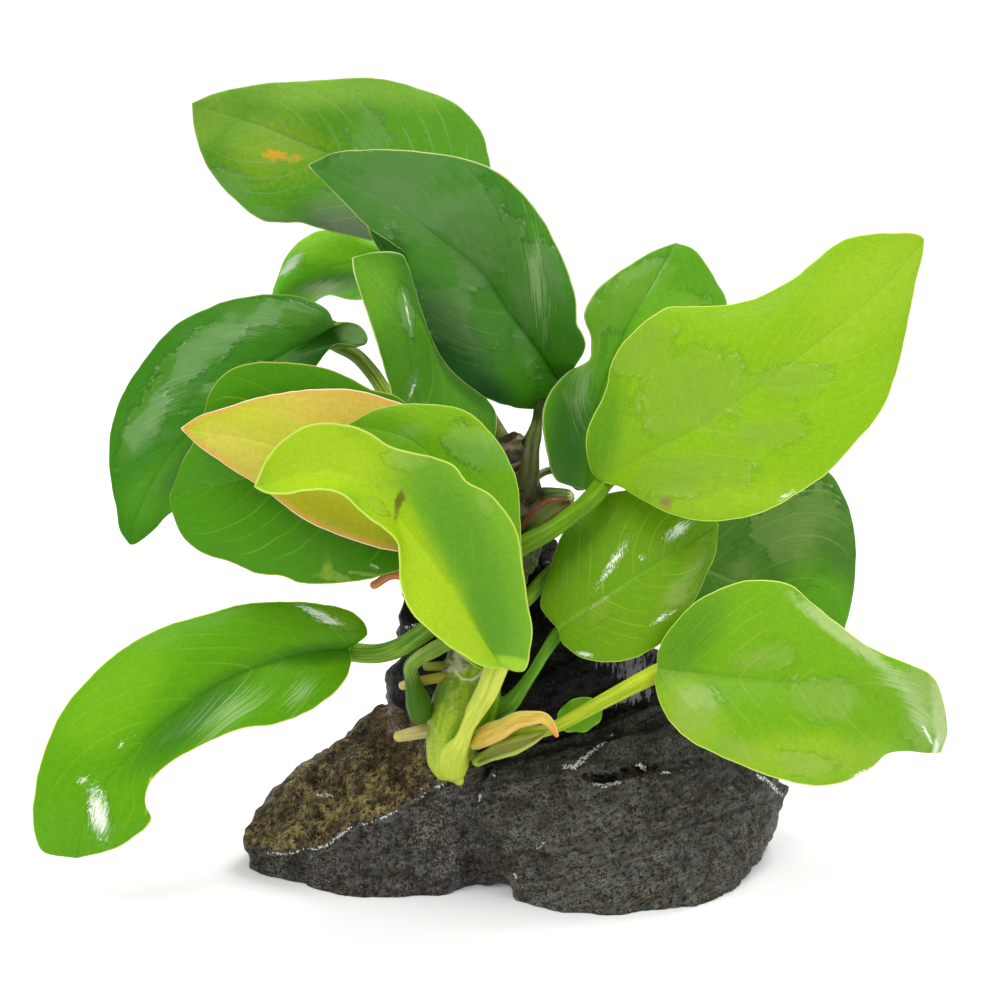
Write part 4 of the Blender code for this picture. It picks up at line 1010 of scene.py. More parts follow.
look = dict(
    main=paint(54, 120, 8), second=paint(72, 138, 13), dark=paint(39, 90, 13), painted_film_sheen=0.2,
    painted_film_sheen_colour=paint(119, 156, 50), veins=0.2, vein_colour=paint(107, 158, 37), rib=0.45,
    rib_colour=paint(45, 96, 12), rim=0.5, rim_colour=paint(150, 170, 80), painted_streaks=0.1,
    marks=[(paint(124, 158, 96), 0.9, 0.2)],
)
grow_leaf("left_high", leaf, look, seed=104)

# %% [markdown]
# ### A leaf that nearly hides
#
# Only a small dark triangle of this leaf shows between the two top leaves.

# %% A leaf that nearly hides
leaf = dict(
    rib=[(-14, 108, 20), (-17, 114, 21), (-21, 121, 21), (-26.6, 128.8, 19)],
    left=[(-17, 109), (-20.6, 114), (-22.6, 120), (-24, 123.6), (-26, 127.2)],
    right=[(-10.6, 110), (-9.6, 116), (-13, 122), (-18, 126.6), (-23, 129)],
    tilt=((10, 15, 5), (-5, -10, -5)), crown=(0.5, 0.5),
)
look = dict(
    main=paint(55, 111, 32), second=paint(69, 129, 33), rim_colour=paint(170, 195, 100),
)
grow_leaf("hidden", leaf, look, seed=105)

# %% [markdown]
# ### The upright leaf in the middle
#
# A narrow leaf that stands up and folds along its midrib. Its right half turns away, and streaks of
# water run down the fold, painted as white highlights on a pale sheen.

# %% The upright leaf in the middle
leaf = dict(
    rib=[(-9, 81.6, -5.6), (-14, 89, -4.6), (-17, 96, -4), (-19, 107, -3), (-23, 114.6, -2),
         (-29.6, 122.4, 0)],
    left=[(-13, 81.6), (-17, 86), (-20, 90), (-21.6, 94), (-23.2, 100), (-25.4, 107), (-27.6, 114),
          (-29.2, 119)],
    right=[(-4, 83), (-0.8, 86), (-0.6, 91.4), (-4.6, 96), (-10, 101.6), (-13.6, 108), (-15.6, 113),
           (-16.4, 117), (-18.4, 121.6), (-20, 123.4), (-25, 123.6)],
    tilt=((20, 22, 12), (-25, -52, -30)), crown=(0.4, 0.8),
    film=[(-17.6, 97, 4.5, 1.6, 80), (-18.6, 111, 6, 1.4, -76), (-16.4, 91, 3, 2, 60)],
    painted_gleam=[(-18.8, 112, 4.6, 0.24, -78), (-17.6, 96, 2.2, 0.26, 70), (-16, 92.4, 1.6, 0.2, 50)],
    tone=[(-27, 116, 6, 4, -70)],
)
look = dict(
    main=paint(76, 138, 21), second=paint(98, 155, 32), veins=0.25, rib=0.45, rib_colour=paint(60, 114, 23),
    rim_colour=paint(238, 236, 165),
)
grow_leaf("upright", leaf, look, seed=106)

# %% [markdown]
# ### The broad leaf at the left
#
# A broad flat leaf whose face is nearly dry, so its side veins show well. A puddle with a ragged
# outline clings to it near the lower edge, painted as a pale sheen with small white highlights, and
# the edge has a notch. A broad patch of shade is painted on its middle.

# %% The broad leaf at the left
leaf = dict(
    rib=[(-14.4, 78.4, -10), (-26, 80, -11.4), (-40, 80, -12), (-52, 78, -11), (-60, 76.4, -9),
         (-66, 74.6, -6)],
    left=[(-13.6, 73), (-15, 66), (-18, 61), (-20.6, 59.6), (-27, 58), (-34, 57), (-40, 57.2),
          (-43.4, 58.6), (-49, 59.4), (-54, 61.4), (-59, 63), (-63, 66), (-65.4, 71)],
    right=[(-13.6, 84), (-16, 91), (-21, 95), (-26, 96.4), (-32, 99.6), (-38, 101.2), (-48, 101.8),
           (-54.4, 100), (-58, 96), (-59.4, 91), (-61.4, 85.4), (-64, 81)],
    tilt=((5, 10, 0), (-3, -5, -5)), crown=(1.2, 1.2),
    film=[(-34.6, 60.4, 3.1, 1.3, 80), (-34, 58.6, 4.4, 1.0, -5), (-27, 59.4, 4, 0.5, -8),
          (-25.2, 60.8, 1.4, 0.6, -20)],
    painted_gleam=[(-25.2, 60.9, 1.2, 0.35, -20), (-28, 63, 0.8, 0.3, 0)], shade=[(-30, 74, 14, 5, -30)],
)
look = dict(
    main=paint(70, 136, 3), second=paint(84, 148, 4), dark=paint(49, 109, 3), painted_film_sheen=0.5,
    painted_film_sheen_colour=paint(166, 184, 42), veins=0.55, vein_colour=paint(133, 173, 20), vein_width=0.055, rib=0.3,
    rim_colour=paint(196, 186, 90), outline=0.7,
)
grow_leaf("left_broad", leaf, look, seed=107)

# %% [markdown]
# ### The yellow leaf
#
# An old leaf has turned yellow, and its edge has begun to turn orange. It still holds its shape.

# %% The yellow leaf
leaf = dict(
    rib=[(-9, 76, -18), (-18, 78, -20), (-28, 80.4, -20.6), (-40, 83.4, -20), (-52, 86.6, -17),
         (-63.8, 88.4, -13)],
    left=[(-8, 71), (-11, 66), (-16, 64), (-20.4, 63.6), (-27, 65), (-34, 67.4), (-40, 70.6), (-46, 75),
          (-52, 79), (-57, 82.6), (-61, 85.4)],
    right=[(-7.6, 81), (-10.4, 87), (-15, 91.6), (-20, 93.6), (-27, 95.8), (-34, 96.4), (-42, 96),
           (-49, 94.4), (-55, 92.6), (-60, 91)],
    tilt=((10, 12, 0), (-5, -15, 0)), crown=(0.8, 0.8), shade=[(-34, 69, 18, 5, -28)],
    tone=[(-50, 88, 12, 4, 10), (-22, 92, 10, 4, 0)],
    marks=[(-24, 92, 16, 4, -3), (-53, 82, 6, 4, -40), (-40, 84, 10, 3, -20)],
)
look = dict(
    main=paint(179, 186, 38), second=paint(191, 196, 53), dark=paint(157, 157, 18), veins=0.16,
    vein_colour=paint(172, 154, 34), rib=0.3, rib_colour=paint(179, 169, 38),
    rim_colour=paint(254, 236, 204), rim=0.9, halo=(paint(224, 146, 78), 1.5, 0.6), coat=0.04,
    specular=0.14,
    marks=[(paint(226, 164, 92), 0.45), (paint(206, 186, 90), 0.5), (paint(186, 180, 60), 0.5)],
)
grow_leaf("yellow", leaf, look, seed=108)

# %% [markdown]
# ### The round leaf behind the front one
#
# A rounded leaf stands upright behind the front leaf. Fine streaks of water cross its top, painted as
# a pale sheen.

# %% The round leaf behind the front one
leaf = dict(
    rib=[(-2, 40.4, -24), (-4, 54, -26), (-6, 66, -27), (-10, 78, -26), (-18, 86, -25), (-30.4, 89.2, -23)],
    left=[(-4, 40), (-12, 46), (-17, 51.6), (-19, 57), (-19.6, 63), (-20, 70), (-23, 78), (-27, 85)],
    right=[(3, 44), (5.4, 52), (4.8, 62), (4.2, 70), (3.4, 78), (1, 84), (-2, 88), (-6.4, 91.8),
           (-12, 93.2), (-19, 93.4), (-25, 92.2)],
    tilt=((5, 5, 5), (-10, -15, -5)), crown=(0.6, 0.8),
    film=[(-18, 87.6, 6, 2.6, 15), (-4, 84, 8, 4, -30)],
    tone=[(-8, 90, 12, 3, -10)],
)
look = dict(
    main=paint(104, 160, 17), second=paint(125, 176, 22), painted_film_sheen=0.24, veins=0.15, rib=0.2,
    rim_colour=paint(206, 220, 110),
)
grow_leaf("front_inner", leaf, look, seed=109)

# %% [markdown]
# ### The twisting leaf in front
#
# The youngest full leaf stands in front of all others and twists. Its left half faces the lamp and
# is a brighter yellow-green, partly its own colour and partly painted light, and its right half turns
# away and is painted darker, as shade. A bruise has left a brown fleck.

# %% The twisting leaf in front
leaf = dict(
    rib=[(0.6, 40.6, -31), (-4, 47, -35), (-9.2, 56, -38), (-15.2, 63.8, -39), (-20.4, 71, -38),
         (-26, 78.4, -37), (-35, 81.6, -35), (-43, 80, -33), (-49.2, 76.6, -32)],
    left=[(-3, 40.4), (-8, 43), (-13, 46.6), (-17.6, 51.6), (-19.8, 57), (-20.4, 62), (-20.6, 65),
          (-23, 68), (-26, 70.2), (-30.6, 73.8), (-34, 75.2), (-40, 75.4), (-46, 75.2)],
    right=[(5, 39.6), (6.2, 44), (6.8, 48.8), (5.8, 54), (4.6, 60.6), (3.6, 67), (1.4, 71.8), (-1.8, 75.6),
           (-6.6, 78), (-8.8, 80.8), (-12.6, 82.4), (-17.8, 83.6), (-22, 85), (-26, 88), (-31.2, 89.4),
           (-37.2, 89.2), (-43, 86.4), (-46.8, 82.4)],
    tilt=((20, 40, 35), (15, 25, 25)), crown=(-0.6, -0.4),
    film=[(-24.6, 72.6, 2.6, 1.2, -40), (-19, 82.4, 5, 2.2, -10), (-3, 74, 3, 2, -60)],
    tone=[(-37, 83, 17, 7, 0), (-16, 60, 17, 5, -62), (-6, 46, 8, 5, -40)],
    shade=[(-7, 66, 16, 5, -62), (-2, 52, 14, 4, -72)], crease=1, groove=0.06,
    marks=[(-19.9, 74.4, 1.3, 0.6, 70), (-20.5, 72.4, 2.2, 0.45, 78), (1.6, 41.3, 3.7, 1.25, -6)], bow=1.0,
)
look = dict(
    main=paint(120, 174, 33), second=paint(171, 204, 31), dark=paint(94, 153, 29),
    painted_film_sheen_colour=paint(147, 176, 82), veins=0.1, rib=0.0, rim_colour=paint(212, 228, 100),
    marks=[(paint(96, 84, 36), 0.85), (paint(118, 112, 40), 0.7), (paint(164, 208, 48), 0.9, 0.08)],
)
grow_leaf("front_twisted", leaf, look, seed=110)

# %% [markdown]
# ### The dark leaf behind at the right
#
# This leaf leans back behind the big lime one, and its base wraps forward as a darker lobe.

# %% The dark leaf behind at the right
leaf = dict(
    rib=[(17, 76, 10), (18, 86, 12), (20, 96, 15), (25, 108, 19), (31, 118, 24), (35, 125.4, 28)],
    left=[(13.6, 76.8), (10.7, 78.2), (9.2, 82.2), (8.5, 88.5), (9, 93), (10.7, 96.8), (13.2, 99.6),
          (15.4, 100.6), (17.8, 102.4), (18, 107), (16.6, 111.4), (19, 116), (24, 120), (30, 123.6)],
    right=[(21, 76), (28, 80), (36, 88), (43, 98), (46, 106), (45.6, 113.6), (42.4, 119.6), (39, 124)],
    tilt=((45, 43, 0), (-5, -10, -5)), crown=(0.6, 1.0),
    film=[(17, 104, 12, 3.4, 80), (26, 115, 11, 5, 40), (36, 112, 6, 4, 0)],
    shade=[(13.6, 87, 10, 4, 85)], tone=[(32, 104, 10, 8, 45)], painted_streaks=[(16, 96, 10, 2.2, 85)],
)
look = dict(
    main=paint(95, 160, 26), second=paint(110, 178, 27), dark=paint(59, 118, 23), painted_film_sheen=0.32, painted_streaks=0.35,
    painted_film_sheen_colour=paint(145, 176, 68), veins=0.2, rib=0.4, rib_colour=paint(75, 130, 32), rim=0.6,
    rim_colour=paint(196, 210, 130),
)
grow_leaf("right_high", leaf, look, seed=111)

# %% [markdown]
# ### The big lime leaf
#
# The showpiece: a broad lime leaf that faces the lamp. Water lies over its middle in lobes with
# sharp brushed outlines, painted as a greyish sheen. It has one brown spot near its lower edge.

# %% The big lime leaf
leaf = dict(
    rib=[(20.4, 77.6, -6), (29.4, 83.4, -8), (40, 88.8, -10), (54, 98.4, -11), (62, 104.3, -10),
         (72.2, 112.4, -7), (79.2, 119.3, -3), (84.8, 126, 1)],
    left=[(18.4, 79.4), (17.2, 83), (17.4, 88), (20, 94), (21.2, 97), (21.8, 101), (24, 105), (28, 109),
          (33, 112.4), (38, 112.8), (46, 113.4), (52, 115), (58, 118), (63, 122), (68, 126), (74, 127.4),
          (80, 127.6), (83.6, 127.2)],
    right=[(24.4, 76.4), (29, 73.6), (34, 71), (40, 69.6), (47, 70), (54, 72), (60, 75.4), (65.4, 79),
           (70, 84), (75, 89.8), (78.2, 95.8), (80.8, 104), (81.8, 110.8), (83, 117), (84.4, 122.4)],
    tilt=((-5, -15, -10), (10, 15, 5)), crown=(1.4, 1.0),
    film=[(38, 95, 12, 9, 20), (58, 98, 9, 3.6, 4), (38, 80, 15, 5, 6), (29, 104, 8, 4.6, 50),
          (52, 87, 10, 4, 10)],
    painted_gleam=[(57.4, 75, 2.4, 0.35, 32)], tone=[(76, 118, 14, 6, 50), (44, 74, 14, 3, 5)],
    shade=[(20.6, 88, 9, 3, 80)], groove=0.6,
)
look = dict(
    main=paint(133, 181, 17), second=paint(147, 186, 32), dark=paint(100, 154, 24),
    painted_film_sheen_colour=paint(127, 149, 73), veins=0.28, vein_colour=paint(167, 193, 76), rib=0.3,
    rib_colour=paint(134, 174, 42), rim_colour=paint(228, 240, 120),
    spots=[(33.4, 73.6, 1.5, paint(152, 128, 72))],
)
grow_leaf("right_large", leaf, look, seed=112)

# %% [markdown]
# ### The leaf below the lime one
#
# A rounded leaf whose veins arch strongly. Rows of drops lie on its face, painted as white highlights.

# %% The leaf below the lime one
leaf = dict(
    rib=[(11.6, 48.2, -15), (17, 52, -14), (26.4, 58, -10.4), (35.4, 63.8, -5), (43.6, 69.2, 1)],
    left=[(9, 51), (8, 53.6), (9, 58), (11, 64), (13.2, 69), (16, 73), (22, 75.6), (30, 76), (38, 74)],
    right=[(12.6, 45), (16, 42.4), (21, 41.4), (26, 42), (31, 44.2), (35, 47.8), (39.2, 53.8), (41.4, 59),
           (43.2, 64)],
    tilt=((-15, -20, -10), (15, 20, 10)), crown=(1.0, 1.0),
    film=[(20, 52, 4, 2, 40), (38.6, 62, 7, 2, 66), (34, 54, 7, 3, 40), (23.4, 63, 5, 1.2, 58)],
    painted_gleam=[(22.6, 61.4, 5.6, 0.8, 56), (35.6, 68, 3.2, 1.2, 36), (17, 43.2, 1.8, 0.5, -10),
           (28.2, 62.4, 0.9, 0.5, 30), (32.6, 50.6, 3.4, 0.5, 30)],
    shade=[(14, 68, 7, 4, 60)],
)
look = dict(
    main=paint(102, 150, 9), second=paint(126, 168, 15), dark=paint(77, 129, 8), painted_film_sheen=0.28,
    painted_film_sheen_colour=paint(151, 162, 53), veins=0.5, vein_colour=paint(163, 187, 35), rib=0.25,
    rim_colour=paint(190, 212, 90),
)
grow_leaf("right_middle", leaf, look, seed=113)

# %% [markdown]
# ### The dark leaf at the far right
#
# A dark leaf behind the lime one. Water covers its right half, painted as a greyish sheen, and its
# fine side veins show pale.

# %% The dark leaf at the far right
leaf = dict(
    rib=[(30, 64, 18), (40, 60.5, 20), (50, 56, 20), (60, 50, 18), (67, 42, 15)],
    left=[(33, 69), (40, 76), (50, 81), (60, 82.4), (66, 79.6), (70, 72), (71.4, 64), (70.8, 56),
          (69.2, 49)],
    right=[(33, 58), (38, 53.2), (44, 46), (52, 41), (60, 39.6)],
    tilt=((-10, -15, -5), (5, 10, 5)), crown=(1.2, 0.8),
    film=[(60, 67, 11, 9, 30), (48, 60, 6, 5, 0)],
    tone=[(66, 52, 8, 5, -60)],
)
look = dict(
    main=paint(77, 125, 40), second=paint(98, 165, 33), painted_film_sheen=0.36, painted_film_sheen_colour=paint(150, 170, 100),
    vein_colour=paint(150, 182, 91), vein_width=0.05, rib=0.3, rim=0.4, rim_colour=paint(130, 160, 80),
)
grow_leaf("right_back", leaf, look, seed=114)

# %% [markdown]
# ### The bright leaf low at the right
#
# This wet leaf ripples and droops at its tip. Most of it lies under water film, painted as a greyish
# sheen with pale streaks, and its curled edge has painted sheen and white highlights where it would
# catch the lamp.

# %% The bright leaf low at the right
leaf = dict(
    rib=[(31.4, 40.4, -18), (37.6, 39.6, -20), (46.6, 38.5, -23), (60, 37.4, -25), (71.4, 36.8, -24),
         (79, 32, -21), (88, 23.4, -17)],
    left=[(31.6, 44), (33, 47), (36, 51), (40, 54.4), (46, 57), (52, 58.2), (58, 57.4), (61, 55),
          (66, 50.4), (71, 46.6), (77, 43.4), (83, 41), (87, 38.4), (89, 33), (89.6, 27.6)],
    right=[(31, 36), (33, 31), (37, 26.4), (43, 23), (50, 20), (58, 17.4), (64, 16.6), (69, 17.6),
           (74, 20.4), (77, 23), (81, 23.6), (85, 23.4)],
    tilt=((-10, -25, -20), (10, 20, 10)), crown=(1.2, 1.2),
    film=[(52, 42.6, 8, 3.2, 8), (38, 30.6, 6.5, 9, 0), (59.6, 21.4, 7, 2.6, -5),
          (64.6, 34.4, 10.5, 4.3, -10), (84.4, 32, 5.5, 9.5, 10), (69, 48, 11.5, 2.2, -38),
          (48, 24, 8, 3, -20)],
    painted_gleam=[(71.8, 19.3, 2.2, 0.5, 28), (87, 24.4, 2.6, 0.7, 80), (85.4, 27, 3.4, 0.35, -62)],
    marks=[(68, 47.4, 9, 1.2, -37), (88, 31, 1.3, 6.5, 6), (84, 36.6, 4, 2.2, -30)],
    tone=[(36, 30, 8, 6, -40), (60, 22, 14, 4, 0)], painted_streaks=[(80, 37, 9, 2.4, -40), (84, 30, 5, 3, -70)],
    shade=[(38, 47, 8, 4, 50)],
)
look = dict(
    main=paint(109, 163, 14), second=paint(136, 176, 32), dark=paint(89, 142, 21), painted_film_sheen=0.32, painted_streaks=0.45,
    painted_film_sheen_colour=paint(148, 161, 91), veins=0.35, vein_colour=paint(156, 180, 73), rib=0.3,
    rib_colour=paint(117, 152, 45), rim_colour=paint(228, 240, 120),
    marks=[(paint(190, 206, 140), 0.55, 0.3), (paint(206, 220, 168), 0.55, 0.3), (paint(164, 192, 110),
           0.4, 0.3)],
)
grow_leaf("right_low", leaf, look, seed=115)

# %% [markdown]
# ### The small round leaf
#
# A round young leaf lies flat on the stone behind a stalk.

# %% The small round leaf
leaf = dict(
    rib=[(11.6, 28.4, -16), (15.8, 30.8, -15.6), (20.4, 33.2, -14.8)],
    left=[(11.6, 31.6), (14.4, 34.2), (17.6, 34.6)],
    right=[(14.4, 27.4), (18, 28), (20.2, 30.4)],
    tilt=((0, -10, 0), (0, 10, 0)), crown=(0.3, 0.3),
)
look = dict(
    main=paint(96, 149, 15), second=paint(114, 163, 20), veins=0.15, rib=0.3,
    rim_colour=paint(140, 196, 50),
)
grow_leaf("small", leaf, look, seed=116)

# %% [markdown]
# ### The long leaf low at the left
#
# A long leaf swings out to the left and down. Its midrib lies in a deep valley near the base, which
# is painted dark as shade, a fan of painted pale streaks of sheen crosses its lower half, and a puddle
# near the tip has a painted white highlight where it would reflect the lamp.

# %% The long leaf low at the left
leaf = dict(
    rib=[(-30.4, 44.4, -6), (-40, 43, -9), (-51, 39.6, -12), (-60, 34.6, -15), (-69, 27.6, -18),
         (-76.6, 20, -20), (-81, 14, -21), (-83.6, 7, -21), (-84.4, 2.4, -20)],
    left=[(-26.8, 46.6), (-26.4, 48), (-27.6, 50.4), (-31, 52.4), (-36, 53.4), (-42, 53.8), (-51, 53.4),
          (-60, 51.2), (-69, 48), (-78.6, 42), (-86.4, 34), (-90.8, 25), (-93.2, 16), (-93.6, 9),
          (-91.6, 3.6)],
    right=[(-29.6, 42), (-30.8, 38), (-34, 34.4), (-39, 31.2), (-45, 29), (-51, 28.2), (-57, 26), (-63, 23),
           (-68, 19.6), (-70.2, 16.8), (-70.8, 13), (-69.8, 9.6), (-76, 4.6)],
    tilt=((-10, -20, -10), (15, 30, 15)), crown=(1.2, 1.0),
    film=[(-33, 50.6, 5.6, 2.2, -20), (-80, 12, 5, 2.6, 100)],
    painted_streaks=[(-54, 31.6, 10, 3.2, 34), (-40, 35.6, 5, 2.6, 50)],
    painted_gleam=[(-80.2, 11.6, 5.2, 2.0, 102), (-83.6, 18, 1.5, 0.6, 30), (-36.4, 51.2, 5, 0.8, -22),
           (-34, 49.6, 3, 0.5, -10), (-75, 25.6, 2.4, 0.3, 32)],
    marks=[(-70.2, 15.2, 2.8, 0.3, 82), (-66.2, 21, 2.4, 0.26, 38)],
    shade=[(-36, 43.2, 9, 1.8, 6), (-62, 30, 12, 3, 40)], tone=[(-76, 36, 14, 5, 45)],
)
look = dict(
    main=paint(89, 154, 2), second=paint(105, 167, 6), dark=paint(57, 119, 5), painted_film_sheen=0.24,
    painted_film_sheen_colour=paint(158, 174, 49), veins=0.45, vein_colour=paint(142, 183, 24), rib=0.55, rib_end=0.1,
    rib_colour=paint(61, 119, 8), rim_colour=paint(206, 222, 84), painted_streaks=0.36,
    marks=[(paint(214, 226, 110), 0.85, 0.15), (paint(206, 222, 96), 0.7, 0.15)],
)
grow_leaf("left_low", leaf, look, seed=117)

# %% [markdown]
# ## The rhizome
#
# The rhizome is the plant's creeping stem. Its growing end in front is fat and lime green, and it
# ends in a blunt slanting point. Slanting scar rings show where leaves have fallen off. They stand
# close together on the brown old part. Each ring is a raised lip with a furrow below it. The old
# end is dry and broken off: what would stand above a ragged plane is pressed down to it, and the
# pith in its middle is sunk.

# %% Rhizome
RHIZOME = [
    (-8.2, 18, -17.8, 1.2), (-8.9, 19.3, -17.8, 2.6), (-9.9, 21, -17.6, 3.9), (-10, 23.6, -17.4, 4.9),
    (-9.4, 27, -17, 5.6), (-8.2, 31, -16, 6.4), (-7.9, 34.6, -15, 5.8), (-7.7, 38, -14.4, 4.6),
    (-6.9, 41.6, -14, 3.8), (-5.6, 46, -12.6, 4.5), (-3, 52, -11.5, 5.2), (1, 59, -9.6, 4.9),
    (3.8, 66, -7.4, 4.7), (4.2, 73, -5, 4.3), (2.9, 80, -3.6, 4.1), (0.9, 85.8, -3.5, 3.8),
]
# How far up each ring sits, how much it tilts, on which side it is highest, and how high its lip is.
RINGS = [
    (0.13, 0.02, 0.5, 0.02), (0.2, 0.03, 2.2, 0.03), (0.27, 0.035, 1.2, 0.05), (0.33, 0.02, 4.0, 0.08),
    (0.38, 0.02, 0.4, 0.1), (0.44, 0.02, 2.6, 0.1), (0.5, 0.02, 5.0, 0.12), (0.55, 0.015, 1.8, 0.1),
    (0.6, 0.02, 3.7, 0.13), (0.65, 0.015, 0.2, 0.12), (0.7, 0.02, 2.4, 0.14), (0.75, 0.02, 4.4, 0.13),
    (0.8, 0.015, 1.1, 0.16), (0.85, 0.02, 3.0, 0.14), (0.9, 0.02, 5.2, 0.18), (0.95, 0.02, 1.0, 0.16),
]
RHIZOME_RINGS = 260
RHIZOME_SIDES = 56


def ring_relief(turns, share):
    """The lips and furrows of the scar rings."""
    relief = 0
    for place, tilt, top, height in RINGS:
        along = (share - place - tilt * np.cos(turns - top)) / 0.009
        relief = relief + height * (np.exp(-((along - 0.8) ** 2)) - 0.6 * np.exp(-((along + 0.8) ** 2)))
    return relief


def scarred(turns, run, share):
    """The rings, and lumps that grow with age."""
    lumps = 0.05 * np.sin(3 * turns + 21 * share) + 0.03 * np.sin(5 * turns - 34 * share)
    ragged = rise(share - 0.94, 0.06) * 0.2 * np.sin(9 * turns) * np.cos(4 * turns + 1)
    return 1 + ring_relief(turns, share) + lumps * (0.35 + share) + ragged - 0.02


line = smooth_line(RHIZOME, np.linspace(0, 1, RHIZOME_RINGS))
points, faces, numbers = tube(seen(*line.T[:3]), line[:, 3] * 0.97, RHIZOME_SIDES, scarred)
lumpy = wander(points, 5.0, 3.0) * 0.35 + wander(points, 2.2, 5.0) * 0.14
centre = points[:-2].reshape(-1, RHIZOME_SIDES, 3).mean(axis=1).repeat(RHIZOME_SIDES, axis=0)
points[:-2] += unit(points[:-2] - centre) * lumpy[:-2, None]
old_end = seen(*RHIZOME[-1][:3])
upward = unit(old_end - seen(*RHIZOME[-2][:3]))
height = (points - old_end) @ upward
off_axis = np.linalg.norm(points - old_end - height[:, None] * upward, axis=1)
broken = 0.3 + 0.55 * wander(points, 1.3, 8.0) - 0.9 * rise(2.8 - off_axis, 1.4)
points -= 0.94 * np.maximum(height - broken, 0)[:, None] * upward
at = drawn(points)
numbers["knob"] = patches(at, [(-8.6, 42.4, 3.8, 1.9, 20)])
numbers["shade"] = patches(at, [(-13.2, 35.2, 3.0, 1.8, 60), (-2.4, 30.4, 2.2, 5, 10)])
numbers["scar"] = line_reach(at, [(-8.9, 39.6), (-7.6, 38.2), (-5.6, 38), (-4, 39), (-3.4, 40.2)], 0.5)
rhizome = build("grown_rhizome", points, faces, numbers, ["rhizome"])
f = Finish("rhizome_skin", roughness=0.42, specular=0.15)
around = f.read("around", vector=True)
fibres = f.cloud(1.0, 4.0, f.stretch((0.5, 0.5, 0.07), around), roughness=0.6)
mottle = f.cloud(330.0, 4.0, roughness=0.6)
drift = f.cloud(110.0, 3.0)
young = f.tint(paint(158, 182, 44), paint(122, 156, 32), fibres, 0.38, 0.62)
young = f.tint(young, paint(190, 204, 66), f.read("share"), 0.02, 0.16, 0.8, 0.0)
# Painted shade: the shade patches darken the green on the rhizome's left side and right flank.
young = f.tint(young, paint(84, 126, 38), f.read("shade"), 0.05, 0.5, 0.0, 0.85)
knob = f.tint(paint(176, 182, 146), paint(96, 84, 60), mottle, 0.45, 0.58)
young = f.tint(young, knob, f.read("knob"), 0.1, 0.45, 0.0, 0.9)
old = f.tint(paint(86, 78, 44), paint(42, 36, 24), mottle, 0.4, 0.6)
old = f.tint(old, paint(56, 78, 34), drift, 0.48, 0.6, 0.0, 0.7)
dry = f.tint(paint(84, 76, 50), paint(132, 124, 96), f.cloud(700.0, 3.0), 0.42, 0.58)
old = f.tint(old, dry, f.read("share"), 0.925, 0.945)
old = f.tint(old, paint(50, 38, 24), f.read("share"), 0.968, 0.98)
age = f.fray(f.read("share"), drift, 0.25)
colour = f.tint(young, old, age, 0.4, 0.6)
colour = f.tint(colour, paint(52, 50, 24), f.read("sunk"), 0.04, 0.12, 0.0, 0.45)
colour = f.tint(colour, paint(226, 226, 190), f.read("scar"), 0.3, 0.8, 0.0, 0.9)
colour = f.shaded(colour, f.step(f.cloud(1500.0, 2.0), 0.2, 0.8, 0.82, 1.1))
f.set("Base Color", colour)
f.set("Coat Weight", f.step(mottle, 0.35, 0.6, 0.05, 0.25))
f.set("Normal", f.relief(f.add(fibres, mottle), 0.00025))
rhizome.data.materials.append(f.material)
print("rhizome", len(rhizome.data.polygons), "faces")

# %% [markdown]
# ## Loose stalks, sheaths and the young leaf
#
# Between the leaves stand what is left of older ones: a curled stalk with a swollen dark end, a
# withered stub, an old sheath with a torn red-brown edge and a pale cut stub. In front a young leaf
# is still rolled up like a paper cone, with its orange tip bent over, and an olive sheath, hollow
# like a boat, lies under it. The shape of each comes from its profile: a rolled leaf steps down
# along a spiral where its free edge lies, and a sheath is sunk along the side that faces the viewer.

# %% Loose pieces
LOOSE_RINGS = 84
LOOSE_SIDES = 36


def rolled(turns, run, share):
    """The spiral step of a rolled leaf."""
    wound = (turns + 1.6 * share - 0.6) % (2 * np.pi) / (2 * np.pi)
    return 0.9 + 0.2 * wound


def hollow(turns, run, share):
    """A boat: sunk along the side that faces the viewer, with a wavy rim."""
    turned = (turns - 0.15 + np.pi) % (2 * np.pi) - np.pi
    opening = 0.75 * np.sin(np.pi * np.clip(share * 1.15 - 0.12, 0, 1)) ** 0.6 + 0.01
    wave = 0.05 * np.sin(26 * share + 3 * turns)
    return 1 + wave * share - 0.62 * np.exp(-((turned / opening) ** 4)) * np.clip(6 * share, 0, 1)


def loose_piece(name, node, path, radii, profile=ribbed, **tints):
    """A tube along its drawn path with its own finish. The radii are spread evenly along it."""
    fractions = np.linspace(0, 1, LOOSE_RINGS)
    centres = smooth_line([seen(*point) for point in path], fractions)
    spread = np.linspace(0, 1, len(radii))
    reach = smooth_line(np.column_stack([spread * 10, radii]), fractions)[:, 1]
    points, faces, numbers = tube(centres, reach, LOOSE_SIDES, profile, facing=True)
    piece = build(name, points, faces, numbers, [node])
    piece.data.materials.append(stalk_finish(name + "_skin", **tints))
    print(name, len(piece.data.polygons), "faces")


